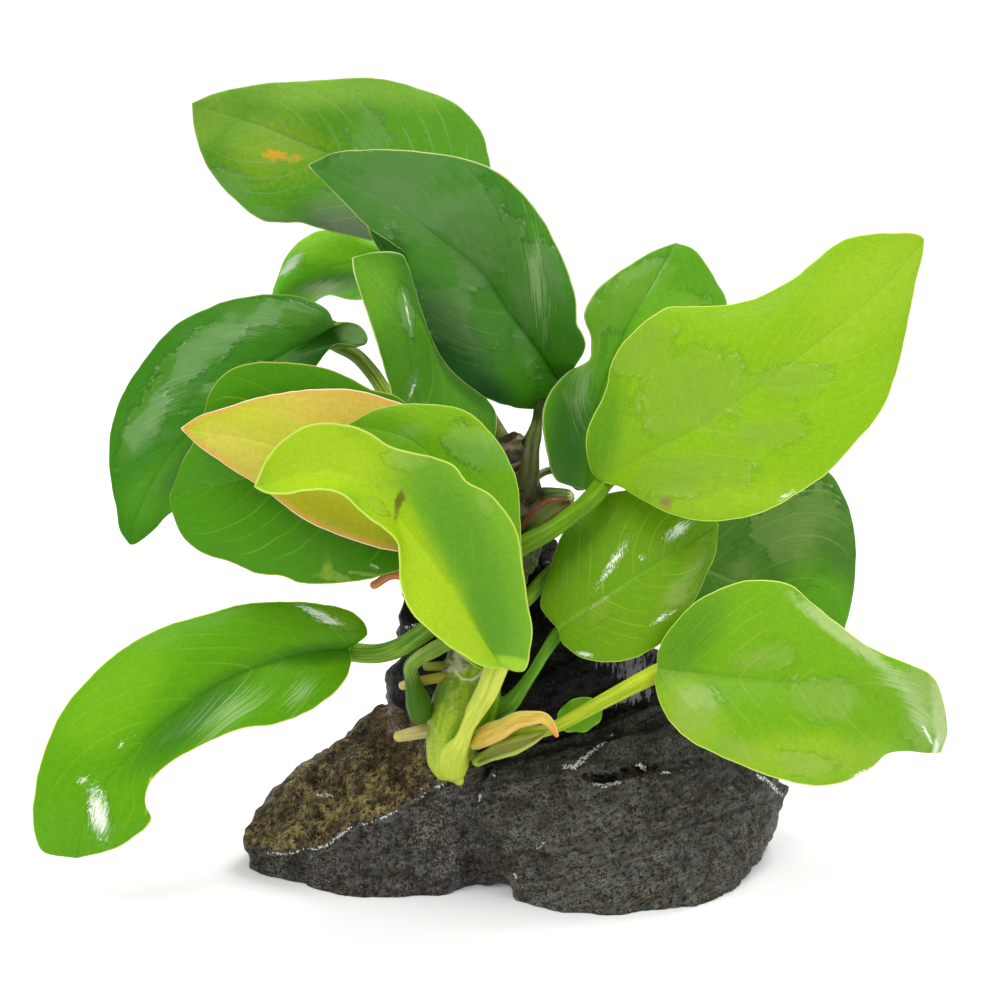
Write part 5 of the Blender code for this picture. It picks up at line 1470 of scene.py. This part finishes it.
loose_piece(
    "curled_stem", "curled_stalk",
    path=[(-9, 46, -14), (-11.3, 45.1, -15.6), (-13.7, 43.8, -17.6), (-16.1, 42.4, -19),
          (-17.8, 40.7, -19.8), (-17.6, 38.6, -19.8), (-17.1, 36.4, -19.6), (-16.4, 34, -19.4),
          (-16, 31.4, -19)],
    radii=(1.6, 1.5, 1.5, 1.4, 1.35, 1.4, 1.75, 2.4, 2.2),
    light=paint(182, 202, 104), dark=paint(118, 158, 54), foot=paint(150, 184, 62),
    tip=paint(62, 100, 14), tip_at=(0.42, 0.66),
)
loose_piece(
    "withered_stub", "withered_stalk",
    path=[(-4, 51, -12), (-12, 56, -13.4), (-20.6, 59, -13.6), (-25.2, 57, -14)],
    radii=(1.0, 0.9, 0.8),
    light=paint(224, 150, 96), dark=paint(188, 112, 62), foot=paint(160, 120, 60), wet=0.1,
)
loose_piece(
    "dried_sheath", "old_sheath",
    path=[(4.6, 67.6, -10), (7.4, 70.2, -11.4), (10.4, 72.4, -10.6), (13.2, 73.4, -8.6)],
    radii=(1.2, 2.0, 2.1, 0.9), profile=hollow,
    light=paint(112, 70, 46), dark=paint(84, 52, 36), foot=paint(96, 84, 46),
    tip=paint(116, 58, 42), inside=paint(84, 98, 42),
)
loose_piece(
    "cut_stub", "cut_stalk",
    path=[(5, 74, -3), (9, 74.6, -4), (13.2, 74.4, -5)],
    radii=(1.9, 1.8, 1.7), profile=rolled,
    light=paint(100, 118, 52), dark=paint(60, 78, 30), foot=paint(50, 60, 28),
    tip=paint(198, 204, 136), tip_at=(0.88, 0.98),
)
loose_piece(
    "rolled_young_leaf", "young_leaf",
    path=[(-4.5, 25.7, -21.6), (-2.1, 27.1, -24.8), (0.4, 28.2, -26.4), (3.3, 29.8, -27.4),
          (6.2, 30.3, -27.6), (8.6, 30.3, -27.2), (10.2, 28.9, -26.6), (11.3, 26.9, -26.2)],
    radii=(1.7, 2.0, 2.1, 1.75, 1.6, 1.3, 0.95, 0.4), profile=rolled,
    light=paint(226, 200, 96), dark=paint(196, 160, 62), foot=paint(196, 200, 80),
    tip=paint(226, 140, 80), tip_at=(0.76, 1.0), rims=(paint(238, 222, 128), paint(228, 176, 120)),
)
loose_piece(
    "olive_sheath", "leaf_sheath",
    path=[(-4.5, 21.8, -20.4), (-0.4, 23.8, -24.6), (3.3, 25, -26.2), (6.2, 26.2, -26.4),
          (8.8, 27.4, -26)],
    radii=(1.1, 1.3, 1.75, 1.5, 0.6), profile=hollow,
    light=paint(150, 172, 52), dark=paint(106, 132, 36), foot=paint(160, 186, 60),
    tip=paint(150, 158, 70), inside=paint(122, 124, 52), rims=(paint(150, 176, 60), paint(176, 196, 84)),
)

# %% [markdown]
# ## Roots
#
# Three short pale roots leave the rhizome on its left and end above the stone. They are smooth, with
# blunt tips. The lowest is cream with a yellow tip, the others are yellow and olive.

# %% Roots
loose_piece(
    "grown_root_low", "root_low",
    path=[(-12, 28.4, -16), (-16.6, 27.5, -16.6), (-20.2, 26.7, -15.8)], radii=(1.5, 1.3, 1.05),
    light=paint(206, 194, 130), dark=paint(178, 166, 100), foot=paint(168, 170, 80),
    tip=paint(206, 190, 84), tip_at=(0.8, 1.05),
)
loose_piece(
    "grown_root_middle", "root_middle",
    path=[(-9, 39, -15), (-14.2, 38.1, -16.4), (-19.4, 36.9, -16)], radii=(1.0, 0.95, 0.85),
    light=paint(196, 186, 72), dark=paint(166, 158, 52), foot=paint(140, 144, 50),
    tip=paint(206, 186, 130),
)
loose_piece(
    "grown_root_high", "root_high",
    path=[(-8, 41, -14), (-11.5, 40.8, -14.8), (-14.6, 40.7, -14.8)], radii=(1.0, 0.95, 0.8),
    light=paint(150, 158, 52), dark=paint(112, 126, 38), foot=paint(104, 116, 38),
    tip=paint(156, 162, 60),
)

# %% [markdown]
# ## The stone
#
# The stone is a dark slate-like rock. Two blocks in front, a saddle in the crevice between them and a
# spire behind have split along slanting planes. Each is the hull of its corners. A fine remesh turns
# the four into one skin, which is then pushed in and out: broad dents, slanting cleavage, grains, and
# the cracks that were drawn.

# %% Blocks
STONE_VOXEL = 0.62
STONE_ROUGHNESS = 0.9

STONE_BLOCKS = {
    "left": dict(
        corners=[(-50.8, 8.2, 6), (-50.2, 5, 2), (-47, 13, 11), (-43, 18, 17), (-39.4, 22.6, 21),
                 (-33, 25.4, 21), (-28.6, 29, 17), (-24.2, 33.4, 11), (-47.4, 3.4, 0), (-38, 6.4, -6),
                 (-30, 9.4, -9), (-20, 13.4, -10.4), (-12, 17.2, -10.6), (-3, 20.6, -9.6), (-34, 22, 34),
                 (-6, 30, 34)],
        front=[(-50.2, 0.2), (-46.4, -1.8), (-39.6, -3.8), (-33.6, -5.2), (-25, -5.6), (-13.3, -5.2),
               (-7.5, -2.2), (2, -1)],
        rear=[(-47, 16), (-40, 34), (-22, 42), (6, 36)],
        depth=4.0,
    ),
    "right": dict(
        corners=[(-3.6, 12.4, -11.6), (-2, 19, -10.6), (2, 7, -14), (0, 20.6, -10.2), (14, 20.8, -12.4),
                 (24, 27, -9.6), (33, 28, -6), (38, 30.6, 1), (43, 23.8, 0), (50.7, 20, 5),
                 (55.4, 18.4, 10), (57.4, 16, 13), (56.4, 12.4, 13), (50, 17, 30), (30, 30, 26),
                 (12, 30, 30), (34, 4, -18.6), (16, 3, -19.4)],
        front=[(2.2, -2), (4, -5.2), (6.2, -6.8), (13.6, -8.6), (23, -9.3), (33.2, -7.9), (41, -7.4),
               (44, -5.8), (50.2, 0.7), (53, 5.4)],
        rear=[(53, 28), (44, 42), (20, 46), (6, 34)],
        depth=4.3,
    ),
    "spire": dict(
        corners=[(-23, 34, 6), (-21, 43, 2), (-19.6, 52, 2), (-19, 59, 4), (-12, 63.4, 5), (-4, 66, 3),
                 (7, 65, 2), (11, 66, 8), (12.8, 64, 8), (12, 60, 1), (20, 54.6, 2), (26, 48, 2),
                 (31, 43, 3), (34, 33, 0),
                 (-12, 58, 26), (2, 62, 28), (22, 47, 30), (30, 38, 26), (-10, 30, -9), (10, 31, -9),
                 (24, 36, -5), (-2, 48, -6.6), (8, 47, -6)],
        front=[(-20, 0), (24, 0)],
        rear=[(30, 34), (-16, 36)],
        depth=4.6,
    ),
    "saddle": dict(
        corners=[(-12, 15.6, -9.8), (-4, 18.6, -10.2), (-4.4, 12.4, -11.2), (-0.6, 8, -12.6), (4, 5, -14.6),
                 (8, 2.6, -16.4), (-9, 4, -8.4), (4, 20, 4), (-8, 12, 4), (10, 6, 4), (4.6, 0.6, -12)],
        front=[(-8.6, -1.8), (-2, -1), (3.4, -1.6)],
        rear=[(-6, 14), (8, 14)],
        depth=4.0,
    ),
}


def hull(points):
    """The convex hull of points in millimetres, as an object."""
    mesh = bpy.data.meshes.new("hull")
    bm = bmesh.new()
    for point in points:
        bm.verts.new(tuple(np.asarray(point) * MM))
    found = bmesh.ops.convex_hull(bm, input=bm.verts)
    spare = found["geom_interior"] + found["geom_unused"]
    spare = {item for item in spare if isinstance(item, bmesh.types.BMVert)}
    bmesh.ops.delete(bm, geom=list(spare), context="VERTS")
    bm.to_mesh(mesh)
    bm.free()
    result = bpy.data.objects.new("hull", mesh)
    bpy.context.scene.collection.objects.link(result)
    return result


def joined_blocks():
    """The blocks as one fine skin: its points in millimetres, its normals and its faces."""
    blocks = []
    for block in STONE_BLOCKS.values():
        corners = [seen(*corner) for corner in block["corners"]]
        corners += [on_floor(*point) * (1, 1, 0) - (0, 0, block["depth"]) for point in block["front"]]
        corners += [(x, back, -block["depth"]) for x, back in block["rear"]]
        blocks.append(hull(corners))
    stone = blocks[0]
    for other in blocks[1:]:
        join = stone.modifiers.new("join", "BOOLEAN")
        join.operation = "UNION"
        join.solver = "EXACT"
        join.object = other
    grain = stone.modifiers.new("grain", "REMESH")
    grain.mode = "VOXEL"
    grain.voxel_size = STONE_VOXEL * MM
    bpy.context.view_layer.update()
    graph = bpy.context.evaluated_depsgraph_get()
    mesh = bpy.data.meshes.new_from_object(stone.evaluated_get(graph))
    for other in blocks:
        bpy.data.objects.remove(other)
    points = np.zeros(len(mesh.vertices) * 3)
    mesh.vertices.foreach_get("co", points)
    normals = np.zeros(len(mesh.vertices) * 3)
    mesh.vertices.foreach_get("normal", normals)
    faces = [list(face.vertices) for face in mesh.polygons]
    return points.reshape(-1, 3) / MM, normals.reshape(-1, 3), faces


# %% [markdown]
# ## Relief of the stone
#
# Chips with sharp creases between them cover the rock. Drawn lines sink its skin into cracks, and
# other drawn lines say on which ledges white highlights are painted, where the water would catch the
# light. The rock splits in slanting layers. CLEAVAGE points across them, and noise that changes
# quickly that way gives the fine grain.

# %% Relief
CLEAVAGE = (-0.3, 0.15, 0.9)


def chipped(points, size, seed):
    """Relief of flat chips with sharp creases between them, from about -1 to 1."""
    shifts = np.array([wander(points, size * 1.7, seed + k) for k in (11.0, 12.0, 13.0)]).T
    cells = (points + 0.9 * size * shifts) / size
    values = [noise.voronoi(Vector(cell) + Vector((seed, 0, 0)))[0] for cell in cells]
    near, second = np.array([value[0] for value in values]), np.array([value[1] for value in values])
    return np.clip(1.6 * (second - near) ** 0.5 - 1, -1, 1)


def layered(points, across, along):
    """Coordinates that change quickly across the layers of the rock and slowly along them."""
    return np.column_stack([points @ CLEAVAGE * across, points[:, 0] * along, points[:, 1] * along])


CRACKS = [
    ([(-27, 6.8), (-29.4, 9.6), (-30.4, 13), (-31.6, 16)], 0.9, 1.3),
    ([(18.6, 18.4), (21.6, 17.9), (25.2, 19.6), (29.6, 20.2)], 1.3, 1.9),
    ([(30, 20.6), (33, 20.2), (37, 20.4)], 0.7, 0.9),
    ([(40.4, 9.4), (45, 11), (49.4, 12.6), (54.6, 14)], 0.6, 1.1),
    ([(43, 13.4), (47, 14.4)], 0.5, 0.7),
    ([(48.6, 18), (49.6, 14.6)], 0.5, 0.6),
    ([(33, 12.4), (37, 13.6), (41, 13.8)], 0.5, 0.5),
    ([(23.5, 5.3), (27.3, 7)], 0.8, 0.9),
    ([(32, 21.5), (40, 22.4)], 0.9, 0.8),
    ([(-41, 16), (-38, 17.6), (-34.6, 17)], 1.0, 0.9),
    ([(-2.6, 20), (-4.6, 15), (-4.8, 12), (-1, 7.6), (5, 4), (9, 2)], 0.9, 0.7),
    ([(2, -1.4), (5, -0.4), (8, -1)], 0.6, 0.6),
]
DENTS = [(-32, 28, 6, 3, 45, 2.0), (-47.5, 15.5, 4, 2.4, 45, 0.9), (-21, 43.4, 3, 1.8, -20, 2.4)]
PAINTED_GLINT_LEDGES = [
    ([(-46.4, 3.4), (-42, 3.3), (-39, 4.1), (-36.6, 4.3)], 0.38),
    ([(-36.6, 4.3), (-34.4, 5), (-32, 7), (-29.8, 8.5)], 0.52),
    ([(-28, 8.8), (-25.4, 9.6), (-23, 10.7), (-20.6, 11.9)], 0.38),
    ([(-17, 14), (-15, 15.2)], 0.45),
    ([(-12.8, 16.6), (-11.2, 17)], 0.52),
    ([(-1.4, 18.8), (-0.6, 19.4)], 0.45),
    ([(12.8, 20.6), (15, 20.6), (17, 22.6)], 1.0),
    ([(17, 22.6), (20, 25), (22.6, 27)], 0.7),
    ([(18.6, 17.2), (21, 16.8), (24, 17.6)], 0.7),
    ([(27.6, 21), (29, 20.2)], 0.9),
    ([(32.6, 19.6), (33.8, 19.4)], 0.45),
    ([(-36.6, 15.2), (-33.6, 14.8)], 0.52),
    ([(-4, 15), (-4.4, 12)], 0.38),
    ([(2.4, -0.6), (3.4, -1.4)], 0.52),
    ([(7, 4), (8.6, 5.4)], 0.38),
    ([(51.4, 19), (54, 17.4), (56.2, 15)], 0.68),
    ([(-18.8, 48.4), (-16.4, 49.2)], 0.52),
]

points, normals, faces = joined_blocks()
broad = 1.6 * wander(points, 1 / 0.06)
lumps = 0.7 * wander(points, 1 / 0.19)
cleavage = 0.8 * wander(layered(points, 0.42, 0.03), 1.0)
move = STONE_ROUGHNESS * (broad + lumps + cleavage + 0.2)
fine_layers = layered(points, 1.15, 0.1)
chips = chipped(points * (1, 1, 1.5), 4.2, 2.0)
grit = 0.6 * wander(points, 2.2, 2.0) + 0.4 * wander(points, 1.1, 6.0)
lumpy = wander(points, 4.6, 9.0)
move += 0.3 * wander(fine_layers, 1.0, 4.0) + 0.34 * chips + 0.46 * grit + 0.45 * lumpy
at = drawn(points)
polished = np.clip(2.5 * patches(at, [(-20, 47, 7, 13, 5)]), 0, 1)
move -= polished * (0.24 * chips + 0.34 * grit)
facing = np.clip(-normals[:, 1] * 2 + 0.4, 0, 1)
for *oval, depth in DENTS:
    move -= depth * patches(at, [oval])
for line, width, depth in CRACKS:
    move -= depth * line_reach(at, line, width) * facing
points = points + normals * move[:, None]

# %% [markdown]
# ## Regions of the stone
#
# The upper left face wears a yellow-brown crust, the front is blue-grey with brown grains, and the
# spire behind is nearly black and very wet. A number on each point says how much it belongs to each.
# Two more mark a pale reflection painted in upright ripples on the spire, and a hollow below it that
# is painted black as shade. They lie on the side that faces the viewer only. The relief is kept as a
# number too, so that the pits can be painted darker, as dirt and as painted shade.

# %% Regions
BACK_STARTS = 12
BACK_DEPTH = 10

at = drawn(points)
x, up = at.T
crust_edge = np.interp(x, [-52, -46.4, -42, -36.6, -34.4, -32, -29.6, -25.4, -20.4, -12.6, -4],
                       [4.6, 3.4, 3.3, 4.2, 5, 7, 8.6, 9.5, 12, 16.7, 20.4])
dark_edge = np.interp(x, [-30, -24, -14, -8, -2, 10, 20, 31, 45, 60],
                      [44, 34, 28, 24.5, 21.8, 24.6, 27.4, 32, 34, 34])
behind = rise(points[:, 1] - BACK_STARTS, BACK_DEPTH)
fade = 1 + 5 * behind
crust = rise(up - crust_edge, 1.2) * rise(-x - 2, 3 * fade)
plum = rise(crust_edge - up + 0.5, 1.5) * rise(1 - x - 0.3 * up, 4)
damp = rise(up - 17 + 0.1 * np.abs(x - 20), 4) * rise(x + 4, 3)
black = rise(up - dark_edge, 1.6 * fade) * (1 - 0.25 * behind)
front_side = np.minimum(1.5 * facing, 1)
# Painted highlights: how near each point lies to a ledge where white sparks are painted.
painted_gleam = np.max([line_reach(at, line, width) for line, width in PAINTED_GLINT_LEDGES], axis=0) * facing
# Painted shade and dirt: the low parts of the relief, to be painted darker.
dirt_and_shade_in_pits = np.clip(0.5 - 0.5 * (0.5 * chips + 0.8 * grit + 0.5 * lumpy), 0, 1)
ochre = patches(at, [(-40, 9, 9, 5, 30), (-45, 4, 4, 3, 0), (-27, 15, 8, 3, 30)])
# Painted reflection: where pale upright ripples are painted on the spire.
painted_ripple_sheen = patches(at, [(25.6, 42, 7, 3, -20), (27, 34.8, 5, 1.3, 15), (27.6, 38.4, 4, 1.2, -10)])
# Painted shade: the hollow that is painted black.
painted_hollow_shade = patches(at, [(20.6, 18.2, 3.8, 1.2, -6), (28.6, 20.4, 4.6, 1.0, 6)])
numbers = dict(
    crust=crust, plum=plum, damp=damp, black=black, painted_gleam=painted_gleam, dirt_and_shade_in_pits=dirt_and_shade_in_pits, polished=polished,
    ochre=ochre, painted_ripple_sheen=painted_ripple_sheen * front_side, hollow=painted_hollow_shade * front_side, layers=fine_layers,
    sheet=np.column_stack([at, 0 * at[:, :1]]),
)
stone = build("split_stone", points, faces, numbers, ["stone"])
bm = bmesh.new()
bm.from_mesh(stone.data)
halves = bm.verts[:] + bm.edges[:] + bm.faces[:]
cut = bmesh.ops.bisect_plane(bm, geom=halves, plane_co=(0, 0, 0), plane_no=(0, 0, 1), clear_inner=True)
rim = [item for item in cut["geom_cut"] if isinstance(item, bmesh.types.BMEdge)]
bmesh.ops.holes_fill(bm, edges=rim)
bm.to_mesh(stone.data)
bm.free()
print("stone", len(stone.data.polygons), "faces")

# %% [markdown]
# ## The finish of the stone
#
# Grains of three sizes colour the rock: over dark brown lie blue-grey and purple-brown patches two
# millimetres wide, and slanting streaks follow the cleavage. The crust is mottled in ochre, ash and
# dark brown. Pits are painted darker, as dirt and as painted shade, and the hollow is painted black as
# shade, with an ochre rim. Water darkens the rock and shines in its pores, and tiny white specks are
# painted on as glints. On the wet ledges small white sparks are painted where the water would catch
# the light, and on the spire a pale painted reflection runs in upright ripples.

# %% Stone finish
f = Finish("wet_rock", roughness=0.5, specular=0.13, coat_roughness=0.1)
layers = f.read("layers", vector=True)
grains = f.cloud(1150.0, 5.0, roughness=0.7)
coarse = f.cloud(620.0, 5.0, roughness=0.75)
strokes = f.cloud(1.0, 4.0, f.stretch((2.6, 6.0, 6.0), layers), roughness=0.7)
specks = f.cloud(2400.0, 3.0, roughness=0.65)
drift = f.cloud(130.0, 4.0, roughness=0.6)
streaks = f.cloud(1.0, 4.0, f.stretch((1.0, 1.6, 1.6), layers), roughness=0.6)
patchy = f.cloud(800.0, 4.0, roughness=0.65, distortion=0.6)
uneven = f.swing(drift, 0.35)
stains = f.cloud(300.0, 6.0, roughness=0.75, distortion=0.5)
bright = f.tint(paint(126, 107, 90), paint(122, 135, 128), stains, 0.45, 0.55)
bright = f.tint(bright, paint(112, 96, 80), patchy, 0.5, 0.58, 0.0, 0.5)
grey = f.tint(paint(42, 36, 31), bright, grains, 0.42, 0.54)
grey = f.tint(grey, paint(134, 138, 124), strokes, 0.5, 0.58, 0.0, 0.75)
grey = f.tint(grey, paint(82, 71, 57), f.add(coarse, uneven), 0.52, 0.6, 0.0, 0.5)
plum = f.tint(paint(104, 86, 82), paint(112, 120, 118), stains, 0.42, 0.6)
plum = f.tint(paint(44, 34, 33), plum, grains, 0.4, 0.58)
grey = f.mix(f.times(f.read("plum"), 0.7), grey, plum)
grey = f.tint(grey, paint(158, 154, 138), f.add(specks, uneven), 0.57, 0.64)
grey = f.tint(grey, paint(28, 24, 22), f.maths("SUBTRACT", specks, uneven), 0.36, 0.42, 0.7, 0.0)
grey = f.tint(grey, paint(44, 38, 36), streaks, 0.35, 0.6, 0.4, 0.0)
lichen = f.cloud(260.0, 8.0, roughness=0.8, distortion=0.7)
lichen = f.add(lichen, f.times(f.maths("SUBTRACT", f.read("ochre"), 0.2), 0.1))
crusted = f.tint(paint(120, 97, 71), paint(204, 180, 108), lichen, 0.47, 0.6)
ashen = f.step(f.cloud(330.0, 4.0, distortion=0.5), 0.56, 0.64, 0.0, 0.7)
crusted = f.mix(ashen, crusted, paint(124, 126, 100))
crusted = f.tint(paint(42, 32, 22), crusted, grains, 0.4, 0.5)
recess = f.cloud(360.0, 7.0, roughness=0.8, distortion=0.4)
crusted = f.tint(crusted, paint(40, 31, 22), recess, 0.4, 0.5, 0.85, 0.0)
crusted = f.tint(crusted, paint(46, 37, 27), coarse, 0.4, 0.48, 0.7, 0.0)
crusted = f.tint(crusted, paint(214, 196, 134), f.add(specks, uneven), 0.6, 0.68, 0.0, 0.9)
share = f.fray(f.read("crust"), drift, 0.5)
colour = f.tint(grey, crusted, share, 0.35, 0.6)
dampness = f.fray(f.read("damp"), stains, 1.2)
colour = f.tint(colour, paint(36, 38, 35), dampness, 0.4, 0.8, 0.0, 0.42)
blackness = f.fray(f.read("black"), drift, 0.6)
jet = f.tint(paint(7, 6, 6), paint(36, 30, 28), grains, 0.46, 0.6)
jet = f.mix(f.read("polished"), jet, f.tint(paint(6, 6, 6), paint(24, 21, 20), coarse, 0.45, 0.65))
colour = f.tint(colour, jet, blackness, 0.3, 0.65)
# Painted shade and dirt: the pits turn darker.
colour = f.tint(colour, paint(22, 19, 17), f.read("dirt_and_shade_in_pits"), 0.45, 0.85, 0.0, 0.5)
# An ochre rim, and inside it the hollow, painted black as shade.
hollow_rim_and_shade = f.fray(f.read("hollow"), coarse, 2.6)
colour = f.tint(colour, paint(118, 92, 52), hollow_rim_and_shade, 0.3, 0.42, 0.0, 0.5)
colour = f.tint(colour, paint(12, 10, 8), hollow_rim_and_shade, 0.46, 0.6)
# Painted highlights: tiny white specks stand for glints on the wet grains.
painted_glints = f.step(f.cloud(2900.0, 2.0), 0.71, 0.74, 0.0, 0.8)
colour = f.mix(painted_glints, colour, paint(196, 196, 186))
# Painted highlights: white sparks along the wet ledges.
painted_sparks = f.maths("SUBTRACT", f.times(f.cloud(2300.0, 2.0), 4.6), 1.3)
painted_sparks = f.times(f.read("painted_gleam"), painted_sparks)
colour = f.tint(colour, paint(252, 254, 255), painted_sparks, 0.5, 0.66)
# Painted reflection: pale upright ripples on the spire.
upright_streaks = f.stretch((1.7, 0.3, 0.0), f.read("sheet", vector=True))
ripple_sheen = f.cloud(1.0, 3.0, upright_streaks, roughness=0.6, distortion=0.3)
ripple_sheen = f.fray(f.read("painted_ripple_sheen"), ripple_sheen, 2.6)
colour = f.tint(colour, paint(150, 146, 160), ripple_sheen, 0.55, 0.7, 0.0, 0.9)
f.set("Base Color", colour)
f.set("Roughness", f.step(blackness, 0.3, 0.7, 0.5, 0.28))
wetness = f.times(dampness, 0.25)
shine = f.maths("MAXIMUM", f.step(drift, 0.4, 0.65, 0.04, 0.26), wetness, clamp=True)
shine = f.times(shine, f.step(blackness, 0.3, 0.7, 1.0, 0.4))
f.set("Coat Weight", shine)
normal = f.relief(f.add(coarse, f.times(strokes, 0.5)), 0.0013)
f.set("Normal", f.relief(f.add(grains, f.times(specks, 0.4)), 0.0007, normal))
stone.data.materials.append(f.material)

# %% [markdown]
# ## The two boxes
#
# The dressed plant should fill the box of the imported model. Both boxes are printed, so that they
# can be compared.

# %% Print the boxes
visual_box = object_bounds()
boxes = {"cad": [list(corner) for corner in cad_box], "visual": [list(corner) for corner in visual_box]}
for label, corners in boxes.items():
    print(label, [[round(c / MM, 1) for c in corner] for corner in corners])
